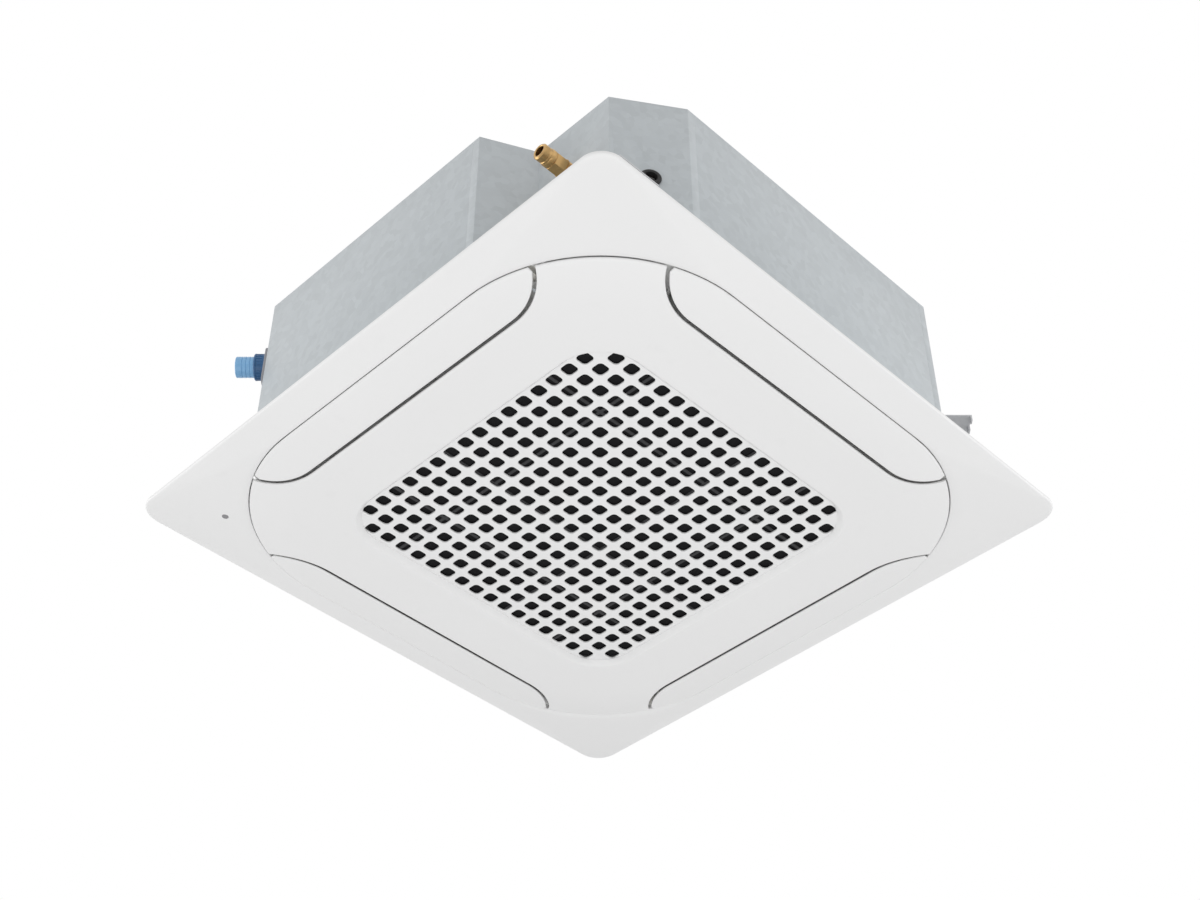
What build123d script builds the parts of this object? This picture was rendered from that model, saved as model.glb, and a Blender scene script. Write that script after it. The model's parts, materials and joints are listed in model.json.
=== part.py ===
from build123d import *
import os
from math import cos, hypot, radians, sin

# Ceiling cassette air conditioner: a sheet-steel body that hangs above the ceiling, with its fan,
# coil, drain pan and electrics, and a square panel below it with four vanes and a swing-down grille.
# Millimetres. Z points up and z = 0 is the ceiling face that the panel's rim lies on. The four sides
# are alike, so one side is drawn with x pointing outwards and turned to its place.

os.makedirs("parts", exist_ok=True)

# ---------------------------------------------------------------- driving dimensions

SIDES = {"east": 0, "north": 90, "west": 180, "south": 270}
running_gap = 0.06

# Panel
panel_half = 475.0
panel_corner = 34.0
rim_height = 6.0
rim_land = 8.0
skin = 2.5
contour_half = 427.5
contour_corner = 241.5
contour_drop = 20.0
face_drop = 32.0
face_slope_width = 62.0
contour_gap = 1.2
edge_bevel = 3.0
frame_wall_lap = 1.0
back_plate_bottom = -10.0
back_plate_thick = 2.5

# Vanes and the openings that they close
vane_line = 364.0
vane_gap = 5.0
vane_straight = 206.0
vane_arc = 97.0
vane_half_length = 273.0
pivot_out = 394.0
pivot_z = -13.5
pin_radius = 3.0
pin_tip = 256.0
arm_along = 212.0
arm_thick = 4.0
arm_head = 6.0
arm_foot_in = 8.0
arm_foot_out = 10.0
arm_neck = 5.0
arm_sink = 0.4
bearing_wall = 1.6
bearing_start = 250.0
bearing_length = 12.0
outlet_in = 353.0
outlet_out = 426.0
outlet_half = 245.0
outlet_corner = 22.0
vane_relief_in = 361.0
vane_relief_out = 377.0
vane_relief_half = 253.0
vane_relief_corner = 6.0

# Vane motors
motor_drop = 8.0
vane_motor_radius = 12.5
vane_motor_length = 19.0
vane_motor_face = 258.0
motor_boss_radius = 5.0
motor_boss_start = 250.0
ear_span = 42.0
ear_height = 7.0
ear_thick = 1.0
motor_window_play = 1.5
motor_window_start = 249.0
motor_window_end = 280.0
motor_plate_width = 48.0
motor_plate_height = 18.0
motor_plate_play = 0.3

# Grille
dish_half = 270.0
dish_corner = 75.0
dish_step = 7.5
lattice_inset = 3.5
lattice_face_z = -23.0
lattice_thick = 3.0
hole_count = 18
hole_pitch = 29.1
hole_size = 21.0
hole_corner = 6.0
rib_half = 288.0
rib_top = -14.0
hinge_out = 411.0
hinge_z = -11.0
hinge_along = 293.0
hinge_arm_thick = 5.0
hinge_eye = 3.0
hinge_pin_radius = 1.4
hinge_hook_radius = 15.2
hinge_hook_thick = 3.0
hinge_hook_foot = -31.0
hinge_hook_top = 118.0
hinge_side_gap = 1.0
hinge_tab_inner = 393.0
hinge_tab_outer = 420.0
hinge_tab_half = 10.0
knuckle_thick = 3.0
knuckle_half = 2.6
knuckle_drop = 1.9
knuckle_room = 0.5
knuckle_window = 6.0
filter_thick = 4.0
filter_gap = 0.6
filter_windows = 5
filter_bar = 5.0
net_thick = 0.6
catch_out = 320.0
catch_along = 110.0
plunger_radius = 3.0
plunger_length = 14.0
plunger_tip_z = -26.0
striker_radius = 5.0
catch_house = 16.0
catch_house_drop = 10.0

# Suction way
suction_half = 296.0
suction_corner = 60.0
collar_wall = 3.0
collar_top = 26.0
gasket_width = 9.0

# Body casing
body_half = 420.0
body_bottom = 30.0
body_height = 288.0
corner_cut = 140.0
sheet = 1.2
lip_width = 15.5
seam_step = 14.0
pocket_mouth_y = -182.0
pocket_wall_x = -342.0
pocket_inner_y = -221.0
pocket_end_y = -358.0
pocket_foot_x = -250.0
corner_plate_thick = 1.5
corner_plate_reach = 629.0
corner_tab_radius = 14.0
liner_thick = 12.0
liner_play = 0.3
bead_height = 2.5
bead_width = 20.0
bead_ring = 141.0
bead_spoke_at = 260.0
bead_spoke_length = 170.0
bead_spokes = 8

# Hanging brackets: slots for the hanging rods
rod_x = 335.5
rod_y = 393.5
rod_slot_length = 30.0
rod_slot_width = 12.0
bracket_z = 122.5
bracket_thick = 2.5
bracket_width = 70.0
bracket_shift = 29.0
bracket_reach = 53.0
bracket_back_height = 60.0
pocket_tab_in = 300.0
pocket_tab_out = 372.0
pocket_tab_tip = 407.0
hook_width = 9.0
hook_drop = 8.0
hook_spacing = 21.0
screw_radius = 2.0
screw_head_radius = 4.5
screw_head = 2.5
screw_length = 8.0

# Drain pan, bell mouth and coil
pan_height = 42.3
pan_hole = 212.0
pan_slot_in = 356.0
pan_slot_out = 398.0
pan_slot_half = 236.0
pan_slot_cut_back = 150.0
pan_slot_corner = 19.8
pan_boss_wall = 2.0
pan_boss_roof = 6.0
trough_floor = 52.0
trough_margin = 8.0
coil_foot = 12.0
coil_foot_inset = 2.0
bell_half = 272.5
bell_corner = 30.0
bell_lap = 1.0
bell_thick = 3.0
bell_wall = 2.5
bell_throat = 160.0
bell_bend = 45.0
bell_top = 97.0
bell_screw_inset = 12.0
coil_line = 310.0
coil_bend = 110.0
coil_thick = 40.0
coil_bottom = 58.0
coil_height = 224.0
coil_end = 185.0
end_plate_thick = 1.5
end_plate_margin = 2.0
tube_radius = 4.0
tube_rise = 24.0
tube_row_step = 20.0
bend_pairs = 4
first_bend = 26.0
blank_return = 24.0

# Fan and its motor
fan_radius = 235.0
fan_eye = 168.0
fan_bottom = 88.0
fan_top = 265.0
fan_wall = 3.0
shroud_neck = 13.5
shroud_rise = 42.0
shroud_middle = 186.0
shroud_middle_rise = 33.75
shroud_half_wall = 1.75
blade_count = 7
blade_thick = 5.0
blade_start = 150.0
blade_sweep = 38.0
blade_bow_out = 14.0
blade_bow_back = 8.0
blade_root = 12.0
shaft_radius = 6.0
shaft_bottom = 128.0
shaft_length = 122.0
motor_radius = 72.0
motor_bottom = 186.0
motor_top = 286.0
motor_crown = 12.0
motor_crown_drop = 14.0
motor_foot = 10.0
motor_nose = 5.0
motor_nose_wall = 4.0
shaft_room = 3.0
shaft_end_room = 2.0
bearing_radius = 16.0
bearing_height = 10.0
lug_reach = 95.0
lug_radius = 16.0
lug_thick = 4.0
bush_radius = 10.0
bush_neck = 7.0
bush_flange = 6.0
stud_radius = 3.0
stud_shoulder = 6.0
stud_end = 8.0
stud_nut = 6.0
hub_boss = 20.0
hub_boss_height = 34.0
hub_lift = 12.0
hub_disc = 12.5
hub_foot = 61.0
hub_foot_rise = 13.75
hub_waist = 98.5
hub_waist_rise = 57.0
hub_shoulder = 110.5
hub_shoulder_rise = 113.0
hub_rim = 127.0
hub_half_wall = 1.5
nut_radius = 11.0
nut_height = 8.0

# Pipes at the pocket
gas_y = -287.0
gas_z = 210.0
gas_neck = 11.1
gas_bore = 8.0
gas_hex = 15.5
gas_nut = 15.0
gas_tail = 12.5
liquid_y = -325.0
liquid_z = 112.0
liquid_neck = 7.9
liquid_bore = 4.8
liquid_hex = 11.0
liquid_nut = 10.5
liquid_tail = 8.5
union_collar = 12.0
union_neck = 5.0
nut_length = 30.0
tail_length = 14.0
tail_chamfer = 2.0

gas_header_x = -302.0
gas_header_radius = 9.5
liquid_header_x = -250.0
liquid_header_radius = 6.0
gas_feeder_radius = 3.0
liquid_feeder_radius = 2.0
header_margin = 10.0
feeder_shift = 2.0

# Drain pump and outlet
pump_x = -317.0
pump_y = 317.0
pump_radius = 24.0
pump_base = 120.0
pump_top = 175.0
pump_round = 4.0
pump_post = 4.0
stem_radius = 11.0
stem_bottom = 60.0
impeller_radius = 7.5
impeller_blade = 1.6
impeller_hub = 4.5
impeller_lift = 4.0
impeller_height = 16.0
impeller_play = 1.5
impeller_room = 22.0
pump_shaft_radius = 2.0
pump_shaft_length = 34.0
pump_shaft_room = 40.0
float_x = -345.0
float_y = 290.0
float_radius = 9.0
float_height = 14.0
float_stem = 3.0
float_foot = 6.0
float_foot_height = 5.0
float_stop_height = 3.0
float_travel = 8.0
float_play = 0.3
float_bore_play = 0.24
float_head = 9.0
float_head_height = 20.0
float_arm = 8.0
sump_radius = 48.0
sump_shift_x = 9.0
sump_shift_y = 5.0
drain_z = 215.0
drain_x = -400.0
spout_radius = 16.0
spout_root = 15.0
spout_bore = 13.0
spout_floor = 3.0
spout_length = 44.0
collar_radius = 20.5
collar_length = 16.0
flange_thick = 5.0
flange_width = 46.0
flange_tall = 70.0
flange_sink = 12.0
flange_corner = 8.0
spout_inside = 22.0
hose_radius = 6.5
hose_bend = 10.0
hose_straight = 20.0
hose_drop = 20.0

# Electrics, fasteners and small items
box_in = 207.0
box_out = 266.0
box_half = 170.0
box_drop = 29.7
board_inset = 6.0
board_start = -160.0
board_end = 60.0
board_drop = 9.0
board_thick = 1.6
post_inset = 12.0
post_radius = 2.5
post_rows = (-130.0, 30.0)
board_part_inset = 14.0
board_part_height = 12.0
board_parts = ((-110.0, 24.0), (-60.0, 18.0), (-10.0, 28.0))
terminal_start = 80.0
terminal_end = 150.0
terminal_drop = 20.0
terminal_pitch = 14.0
terminal_rows = 5
terminal_spread = 16.0
terminal_well_long = 10.0
terminal_well_wide = 9.0
terminal_well_deep = 6.0
panel_bolt = 310.0
bolt_radius = 3.0
bolt_head_radius = 7.0
bolt_head = 4.0
bolt_top = 44.0
stand_off_radius = 9.0
window_x = -382.0
window_y = 383.0
window_radius = 5.0
window_face_z = -17.4
grommet_z = 158.0
grommet_radius = 15.0
grommet_neck = 12.0
grommet_bore = 9.0
grommet_lip = 4.0

# ---------------------------------------------------------------- values that follow

face_half = contour_half - contour_gap
face_corner = contour_corner - contour_gap
vane_centre = vane_line + vane_arc
back_plate_top = back_plate_bottom + back_plate_thick
body_top = body_bottom + body_height
wall_height = body_height - sheet
corner_plate_z = body_bottom + sheet
pan_bottom = corner_plate_z + corner_plate_thick
pan_top = pan_bottom + pan_height
liner_inset = sheet + liner_play
lattice_half = dish_half - lattice_inset
lattice_corner = dish_corner - lattice_inset
lattice_back_z = lattice_face_z + lattice_thick
outer_half = panel_half - rim_land
coil_top = coil_bottom + coil_height
bell_screw_at = bell_half - bell_screw_inset
cut = body_half - corner_cut
chamfer_sum = body_half + cut
bearing_block = pin_radius + bearing_wall
boss_bottom = shaft_bottom + hub_lift
shroud_rim = fan_bottom + shroud_rise
float_rest_z = trough_floor + float_foot_height + float_play
float_stop_z = float_rest_z + float_height + float_travel + float_play
hook_outer = hinge_hook_radius + hinge_hook_thick
knuckle_at = hinge_arm_thick / 2 + hinge_side_gap + knuckle_thick / 2
hinge_pin_half = knuckle_at + knuckle_thick / 2

# Outer corners of the casing, counter-clockwise seen from above. The corner at -x -y is set back
# into a pocket for the pipes.
OUTLINE = [
    (cut, -body_half),
    (body_half, -cut),
    (body_half, cut),
    (cut, body_half),
    (-cut, body_half),
    (-body_half, cut),
    (-body_half, pocket_mouth_y),
    (pocket_wall_x, pocket_inner_y),
    (pocket_wall_x, pocket_end_y),
    (pocket_foot_x, -body_half),
]


def save(builder, name):
    """Label a finished piece and write it to its own file."""
    builder.part.label = name
    export_step(builder.part, f"parts/{name}.step")


def prism(half, corner, bottom, top, mode=Mode.ADD):
    """Upright block with a rounded square plan, centred on the axis."""
    with BuildSketch(Plane.XY.offset(bottom)) as plan:
        RectangleRounded(2 * half, 2 * half, corner)
    extrude(plan.sketch, amount=top - bottom, mode=mode)


def frustum(lower, upper, mode=Mode.ADD):
    """Straight-sided block between two rounded squares, each given as half width, corner, z."""
    ends = []
    for half, corner, z in (lower, upper):
        with BuildSketch(Plane.XY.offset(z)) as plan:
            RectangleRounded(2 * half, 2 * half, corner)
        ends.append(plan.sketch)
    loft(ends, ruled=True, mode=mode)


def cylinder_up(x, y, radius, bottom, top, mode=Mode.ADD):
    """Upright round block."""
    with BuildSketch(Plane.XY.offset(bottom)) as plan:
        with Locations((x, y)):
            Circle(radius)
    extrude(plan.sketch, amount=top - bottom, mode=mode)


def hexagon_up(x, y, radius, bottom, top):
    """Upright hexagonal block."""
    with BuildSketch(Plane.XY.offset(bottom)) as plan:
        with Locations((x, y)):
            RegularPolygon(radius, 6)
    extrude(plan.sketch, amount=top - bottom)


def box_between(low, high, mode=Mode.ADD):
    """Block between two opposite corners."""
    middle = [(a + b) / 2 for a, b in zip(low, high)]
    with Locations(tuple(middle)):
        Box(high[0] - low[0], high[1] - low[1], high[2] - low[2], mode=mode)


def side_level(angle, height):
    """Level plane whose x points out of one side of the panel."""
    return Plane.XY.rotated((0, 0, angle)).offset(height)


def side_section(angle, along):
    """Upright plane across one side at a distance along it: x points outwards and y points up."""
    outwards = Vector(cos(radians(angle)), sin(radians(angle)), 0)
    sideways = Vector(-sin(radians(angle)), cos(radians(angle)), 0)
    return Plane(origin=sideways * along, x_dir=outwards, z_dir=-sideways)


def face_plane(x, y, z, direction):
    """Plane on an upright face: its normal is the direction, its y points up."""
    normal = Vector(*direction, 0).normalized()
    return Plane(origin=(x, y, z), x_dir=Vector(-normal.Y, normal.X, 0), z_dir=normal)


def face_height(x, y):
    """Height of the lower side of the front face at a place on one side of the panel."""
    straight = face_half - face_corner
    over_x, over_y = x - straight, y - straight
    reach = hypot(over_x, over_y) if min(over_x, over_y) > 0 else max(over_x, over_y)
    risen = max(0.0, 1 - (face_corner - reach) / face_slope_width)
    return -face_drop + (face_drop - contour_drop) * risen


def casing_plan(inset):
    """Plan of the casing, moved in from its outer face."""
    Polygon(*OUTLINE, align=None)
    offset(amount=-inset, kind=Kind.INTERSECTION)


def screw_at(plane):
    """Pan-head screw standing on a plane, its shank going the other way."""
    with BuildSketch(plane) as head:
        Circle(screw_head_radius)
    extrude(head.sketch, amount=screw_head)
    with BuildSketch(plane) as shank:
        Circle(screw_radius)
    extrude(shank.sketch, amount=-screw_length)


def screw_holes(planes):
    """Holes for screws through whatever lies at their planes."""
    for plane in planes:
        with BuildSketch(plane) as hole:
            Circle(screw_radius)
        extrude(hole.sketch, amount=screw_length, both=True, mode=Mode.SUBTRACT)


# ---------------------------------------------------------------- where the brackets sit

def regular_bracket(sign_x, sign_y):
    """Plan of a bracket tab square to a cut corner, and the way that the corner faces."""
    outwards = Vector(sign_x, sign_y, 0).normalized()
    along = Vector(-sign_x, sign_y, 0).normalized()
    middle = Vector(sign_x, sign_y, 0) * (chamfer_sum / 2)
    tab = [
        middle + along * (bracket_shift + end * bracket_width / 2) + outwards * reach
        for end, reach in ((-1, 0), (-1, bracket_reach), (1, bracket_reach), (1, 0))
    ]
    return [(corner.X, corner.Y) for corner in tab], (sign_x, sign_y)


def pocket_face_y(x):
    """Height in plan of the slanting wall at the end of the pocket."""
    slope = (-body_half - pocket_end_y) / (pocket_foot_x - pocket_wall_x)
    return pocket_end_y + (x - pocket_wall_x) * slope


pocket_tab = [
    (-pocket_tab_in, pocket_face_y(-pocket_tab_in)),
    (-pocket_tab_in, -pocket_tab_tip),
    (-pocket_tab_out, -pocket_tab_tip),
    (-pocket_tab_out, pocket_end_y - bracket_thick),
    (pocket_wall_x, pocket_end_y),
]
pocket_normal = (-(pocket_end_y + body_half), pocket_wall_x - pocket_foot_x)
BRACKETS = [
    regular_bracket(1, 1),
    regular_bracket(1, -1),
    regular_bracket(-1, 1),
    (pocket_tab, pocket_normal),
]


def bracket_back(tab, facing):
    """Plane at the middle of a bracket's back, which hangs below its tab, and the back's width."""
    start, end = tab[0], tab[-1]
    width = hypot(start[0] - end[0], start[1] - end[1])
    z = bracket_z + bracket_thick - bracket_back_height / 2
    return face_plane((start[0] + end[0]) / 2, (start[1] + end[1]) / 2, z, facing), width


bracket_screws = []
for tab, facing in BRACKETS:
    back, width = bracket_back(tab, facing)
    for side in (-1, 1):
        bracket_screws.append(back.offset(bracket_thick).shift_origin(
            back.offset(bracket_thick).from_local_coords((side * width / 4, bracket_back_height / 5, 0))
        ))

# ---------------------------------------------------------------- casing

far = body_half
SHEETS = {
    "side_sheet_south": [(pocket_foot_x + seam_step, -far), (cut - seam_step, -far)],
    "side_sheet_east": [(cut - seam_step, -far), (cut, -far), (far, -cut), (far, cut - seam_step)],
    "side_sheet_north": [(far, cut - seam_step), (far, cut), (cut, far), (-cut + seam_step, far)],
    "side_sheet_west": [
        (-cut + seam_step, far),
        (-cut, far),
        (-far, cut),
        (-far, pocket_mouth_y + seam_step),
    ],
    "pocket_sheet": [
        (-far, pocket_mouth_y + seam_step),
        (-far, pocket_mouth_y),
        (pocket_wall_x, pocket_inner_y),
        (pocket_wall_x, pocket_end_y),
        (pocket_foot_x, -far),
        (pocket_foot_x + seam_step, -far),
    ],
}

drain_face = face_plane(drain_x, chamfer_sum + drain_x, drain_z, (-1, 1))
gas_face = face_plane(pocket_wall_x, gas_y, gas_z, (-1, 0))
liquid_face = face_plane(pocket_wall_x, liquid_y, liquid_z, (-1, 0))
grommet_face = face_plane(
    (pocket_wall_x + pocket_foot_x) / 2,
    (pocket_end_y - body_half) / 2,
    grommet_z,
    pocket_normal,
)

for name, route in SHEETS.items():
    with BuildPart() as wall:
        for inwards, height in ((sheet, wall_height), (lip_width, sheet)):
            with BuildSketch(Plane.XY.offset(body_bottom)):
                with BuildLine():
                    Polyline(*route)
                    offset(amount=inwards, side=Side.LEFT, kind=Kind.INTERSECTION)
                make_face()
            extrude(amount=height)
        screw_holes(bracket_screws)
        for plane, radius in (
            (drain_face, spout_root),
            (gas_face, gas_neck),
            (liquid_face, liquid_neck),
            (grommet_face, grommet_neck),
        ):
            with BuildSketch(plane):
                Circle(radius)
            extrude(amount=2 * sheet, both=True, mode=Mode.SUBTRACT)
    save(wall, name)

with BuildPart() as top_plate:
    with BuildSketch(Plane.XY.offset(body_top - sheet)):
        casing_plan(0)
    extrude(amount=sheet)
    for wall, top, mode in ((0, bead_height, Mode.ADD), (sheet, bead_height - sheet, Mode.SUBTRACT)):
        with BuildSketch(Plane.XY.offset(body_top - sheet)):
            Circle(bead_ring + bead_width / 2 - wall)
            Circle(bead_ring - bead_width / 2 + wall, mode=Mode.SUBTRACT)
            with PolarLocations(bead_spoke_at, bead_spokes, start_angle=180 / bead_spokes):
                SlotOverall(bead_spoke_length - 2 * wall, bead_width - 2 * wall)
        extrude(amount=sheet + top, mode=mode)
    with BuildSketch(Plane.XY.offset(body_top - sheet)):
        with PolarLocations(lug_reach, 3):
            Circle(stud_radius)
    extrude(amount=2 * sheet, mode=Mode.SUBTRACT)
save(top_plate, "top_plate")

with BuildPart() as corner_plates:
    with BuildSketch(Plane.XY.offset(corner_plate_z)):
        casing_plan(liner_inset)
        Rectangle(2 * body_half, 2 * (corner_plate_reach - body_half), mode=Mode.SUBTRACT)
        Rectangle(2 * (corner_plate_reach - body_half), 2 * body_half, mode=Mode.SUBTRACT)
        inner = corner_plate_reach
        Polygon((inner, 0), (0, inner), (-inner, 0), (0, -inner), align=None, mode=Mode.SUBTRACT)
        with GridLocations(2 * panel_bolt, 2 * panel_bolt, 2, 2):
            Circle(corner_tab_radius)
            Circle(bolt_radius, mode=Mode.SUBTRACT)
    extrude(amount=corner_plate_thick)
save(corner_plates, "corner_plates")

with BuildPart() as hanger_brackets:
    for tab, facing in BRACKETS:
        with BuildSketch(Plane.XY.offset(bracket_z)):
            Polygon(*tab, align=None)
        extrude(amount=bracket_thick)
        back, width = bracket_back(tab, facing)
        with BuildSketch(back):
            Rectangle(width, bracket_back_height)
        extrude(amount=bracket_thick)
    for tab, facing in BRACKETS[:3]:
        towards = -facing[0] * facing[1]
        with BuildSketch(face_plane(*tab[2], bracket_z, facing)):
            for step in (0, hook_spacing):
                with Locations((towards * (step + hook_width / 2), -hook_drop / 2)):
                    Rectangle(hook_width, hook_drop)
        extrude(amount=-bracket_thick)
    with BuildSketch(Plane.XY.offset(bracket_z)):
        with GridLocations(2 * rod_x, 2 * rod_y, 2, 2):
            SlotOverall(rod_slot_length, rod_slot_width)
    extrude(amount=bracket_thick, mode=Mode.SUBTRACT)
    screw_holes(bracket_screws)
save(hanger_brackets, "hanger_brackets")

with BuildPart() as bracket_screw_set:
    for plane in bracket_screws:
        screw_at(plane)
save(bracket_screw_set, "bracket_screws")

with BuildPart() as side_liner:
    with BuildSketch(Plane.XY.offset(pan_top)):
        casing_plan(liner_inset)
        with BuildSketch(mode=Mode.PRIVATE) as hollow:
            casing_plan(liner_inset + liner_thick)
        add(hollow.sketch, mode=Mode.SUBTRACT)
    extrude(amount=body_top - sheet - pan_top)
    screw_holes(bracket_screws)
    for plane, radius in (
        (drain_face, spout_root),
        (gas_face, gas_neck),
        (liquid_face, liquid_neck),
        (grommet_face, grommet_neck),
    ):
        with BuildSketch(plane):
            Circle(radius)
        extrude(amount=2 * liner_thick, both=True, mode=Mode.SUBTRACT)
save(side_liner, "side_liner")

# ---------------------------------------------------------------- drain pan, bell mouth, coil

def slot_span(side, half):
    """Middle and length of an outlet slot along its side; the west one stops short of the pocket."""
    end = pan_slot_cut_back if side == "west" else half
    return (end - half) / 2, end + half


with BuildPart() as drain_pan:
    with BuildSketch(Plane.XY.offset(pan_bottom)):
        casing_plan(liner_inset)
        Circle(pan_hole, mode=Mode.SUBTRACT)
        with GridLocations(2 * panel_bolt, 2 * panel_bolt, 2, 2):
            Circle(bolt_head_radius, mode=Mode.SUBTRACT)
    extrude(amount=pan_height)
    for side, angle in SIDES.items():
        middle, length = slot_span(side, pan_slot_half)
        with BuildSketch(side_level(angle, pan_bottom)):
            with Locations(((pan_slot_in + pan_slot_out) / 2, middle)):
                RectangleRounded(pan_slot_out - pan_slot_in, length, pan_slot_corner)
        extrude(amount=pan_height, mode=Mode.SUBTRACT)
    with BuildSketch(Plane.XY.offset(trough_floor - pan_boss_roof)):
        with GridLocations(2 * panel_bolt, 2 * panel_bolt, 2, 2):
            Circle(bolt_head_radius + pan_boss_wall)
    extrude(amount=pan_top - trough_floor + pan_boss_roof)
    trough_out = coil_line + coil_thick / 2 + trough_margin
    trough_in = coil_line - coil_thick / 2 - trough_margin
    with BuildSketch(Plane.XY.offset(trough_floor)):
        RectangleRounded(2 * trough_out, 2 * trough_out, coil_bend + coil_thick / 2 + trough_margin)
        RectangleRounded(
            2 * trough_in, 2 * trough_in, coil_bend - coil_thick / 2 - trough_margin, mode=Mode.SUBTRACT
        )
        with Locations(((pump_x + float_x) / 2 + sump_shift_x, (pump_y + float_y) / 2 + sump_shift_y)):
            Circle(sump_radius)
    extrude(amount=pan_top - trough_floor, mode=Mode.SUBTRACT)
    with BuildSketch(Plane.XY.offset(trough_floor)):
        with PolarLocations(coil_line, 4):
            Rectangle(coil_thick - 2 * coil_foot_inset, coil_foot)
    extrude(amount=coil_bottom - trough_floor)
save(drain_pan, "drain_pan")

with BuildPart() as bell_mouth:
    bell_bottom = pan_bottom - bell_thick
    flare_out = bell_throat + bell_bend
    with BuildSketch(Plane.XY.offset(bell_bottom)):
        RectangleRounded(2 * bell_half, 2 * bell_half, bell_corner)
        Circle(flare_out - bell_lap, mode=Mode.SUBTRACT)
        with GridLocations(2 * bell_screw_at, 2 * bell_screw_at, 2, 2):
            Circle(screw_radius, mode=Mode.SUBTRACT)
    extrude(amount=bell_thick)
    with BuildSketch(Plane.XZ):
        with BuildLine():
            bend_z = bell_bottom + bell_bend
            Line((flare_out, bell_bottom), (flare_out, bell_bottom + bell_wall))
            RadiusArc(
                (flare_out, bell_bottom + bell_wall),
                (bell_throat + bell_wall, bend_z),
                bell_bend - bell_wall,
            )
            Polyline(
                (bell_throat + bell_wall, bend_z),
                (bell_throat + bell_wall, bell_top),
                (bell_throat, bell_top),
                (bell_throat, bend_z),
            )
            RadiusArc((bell_throat, bend_z), (flare_out, bell_bottom), -bell_bend)
        make_face()
    revolve(axis=Axis.Z)
save(bell_mouth, "bell_mouth")

with BuildPart() as bell_screws:
    for x in (-1, 1):
        for y in (-1, 1):
            spot = (x * bell_screw_at, y * bell_screw_at, pan_bottom - bell_thick)
            with BuildSketch(Plane(origin=spot, z_dir=(0, 0, -1))):
                Circle(screw_head_radius)
            extrude(amount=screw_head)
            cylinder_up(spot[0], spot[1], screw_radius, spot[2], pan_bottom)
save(bell_screws, "bell_mouth_screws")


with BuildPart() as coil_fins:
    with BuildSketch(Plane.XY.offset(coil_bottom)):
        for shift, mode in ((coil_thick / 2, Mode.ADD), (-coil_thick / 2, Mode.SUBTRACT)):
            half = coil_line + shift
            RectangleRounded(2 * half, 2 * half, coil_bend + shift, mode=mode)
        away = coil_line + coil_thick
        with Locations((-away, -away)):
            Rectangle(
                away - coil_end, away - coil_end, align=(Align.MIN, Align.MIN), mode=Mode.SUBTRACT
            )
    extrude(amount=coil_height)
save(coil_fins, "coil_fins")

with BuildPart() as end_plates:
    plate_width = coil_thick + 2 * end_plate_margin
    with BuildSketch(Plane.XY.offset(coil_bottom)):
        with Locations((-coil_line, -coil_end - end_plate_thick / 2)):
            Rectangle(plate_width, end_plate_thick)
        with Locations((-coil_end - end_plate_thick / 2, -coil_line)):
            Rectangle(end_plate_thick, plate_width)
    extrude(amount=coil_height)
save(end_plates, "coil_end_plates")

bend_z_values = [coil_bottom + first_bend + 2 * tube_rise * i for i in range(bend_pairs)]
end_face = coil_end + end_plate_thick
with BuildPart() as return_bends:
    for z in bend_z_values:
        for row in (-1, 1):
            across = -coil_line + row * tube_row_step / 2
            middle = z + tube_rise / 2
            with BuildSketch(Plane(origin=(across, -end_face, middle), x_dir=(0, 0, 1), z_dir=(0, 1, 0))):
                with Locations((tube_rise / 2, 0)):
                    Circle(tube_radius)
            revolve(
                axis=Axis((across, -end_face, middle), (1, 0, 0)),
                revolution_arc=180,
            )
            with BuildSketch(Plane(origin=(-end_face, across, middle), x_dir=(0, 0, 1), z_dir=(1, 0, 0))):
                with Locations((tube_rise / 2, 0)):
                    Circle(tube_radius)
            revolve(
                axis=Axis((-end_face, across, middle), (0, -1, 0)),
                revolution_arc=180,
            )
save(return_bends, "coil_return_bends")

with BuildPart() as corner_blank:
    inner_face = coil_line - coil_thick / 2 - end_plate_margin
    with BuildSketch(Plane.XY.offset(pan_top)):
        with BuildLine():
            Polyline(
                (-inner_face, -end_face),
                (-inner_face + blank_return, -end_face),
                (-end_face, -inner_face + blank_return),
                (-end_face, -inner_face),
            )
            offset(amount=sheet, side=Side.LEFT, kind=Kind.INTERSECTION)
        make_face()
    extrude(amount=coil_top - pan_top)
save(corner_blank, "coil_corner_blank")

feeder_rise = 1.5 * tube_rise
with BuildPart() as gas_header:
    cylinder_up(gas_header_x, gas_y, gas_header_radius, pan_top + header_margin, coil_top - header_margin)
    for z in bend_z_values:
        feeder_start = (gas_header_x + feeder_shift, gas_y, z + feeder_rise)
        with BuildSketch(Plane(origin=feeder_start, z_dir=(0, 1, 0))):
            Circle(gas_feeder_radius)
        extrude(amount=-end_face - gas_y)
    with BuildSketch(Plane(origin=(gas_header_x, gas_y, gas_z), z_dir=(-1, 0, 0))):
        Circle(gas_bore)
    extrude(amount=gas_header_x - pocket_wall_x - liner_thick)
save(gas_header, "gas_header")

with BuildPart() as liquid_header:
    cylinder_up(liquid_header_x, liquid_y, liquid_header_radius, pan_top + header_margin,
                coil_top - header_margin)
    for z in bend_z_values:
        with BuildSketch(Plane(origin=(liquid_header_x, liquid_y, z + feeder_rise), z_dir=(1, 0, 0))):
            Circle(liquid_feeder_radius)
        extrude(amount=-end_face - liquid_header_x)
    with BuildSketch(Plane(origin=(liquid_header_x, liquid_y, liquid_z), z_dir=(-1, 0, 0))):
        Circle(liquid_bore)
    extrude(amount=liquid_header_x - pocket_wall_x - liner_thick)
save(liquid_header, "liquid_header")

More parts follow.
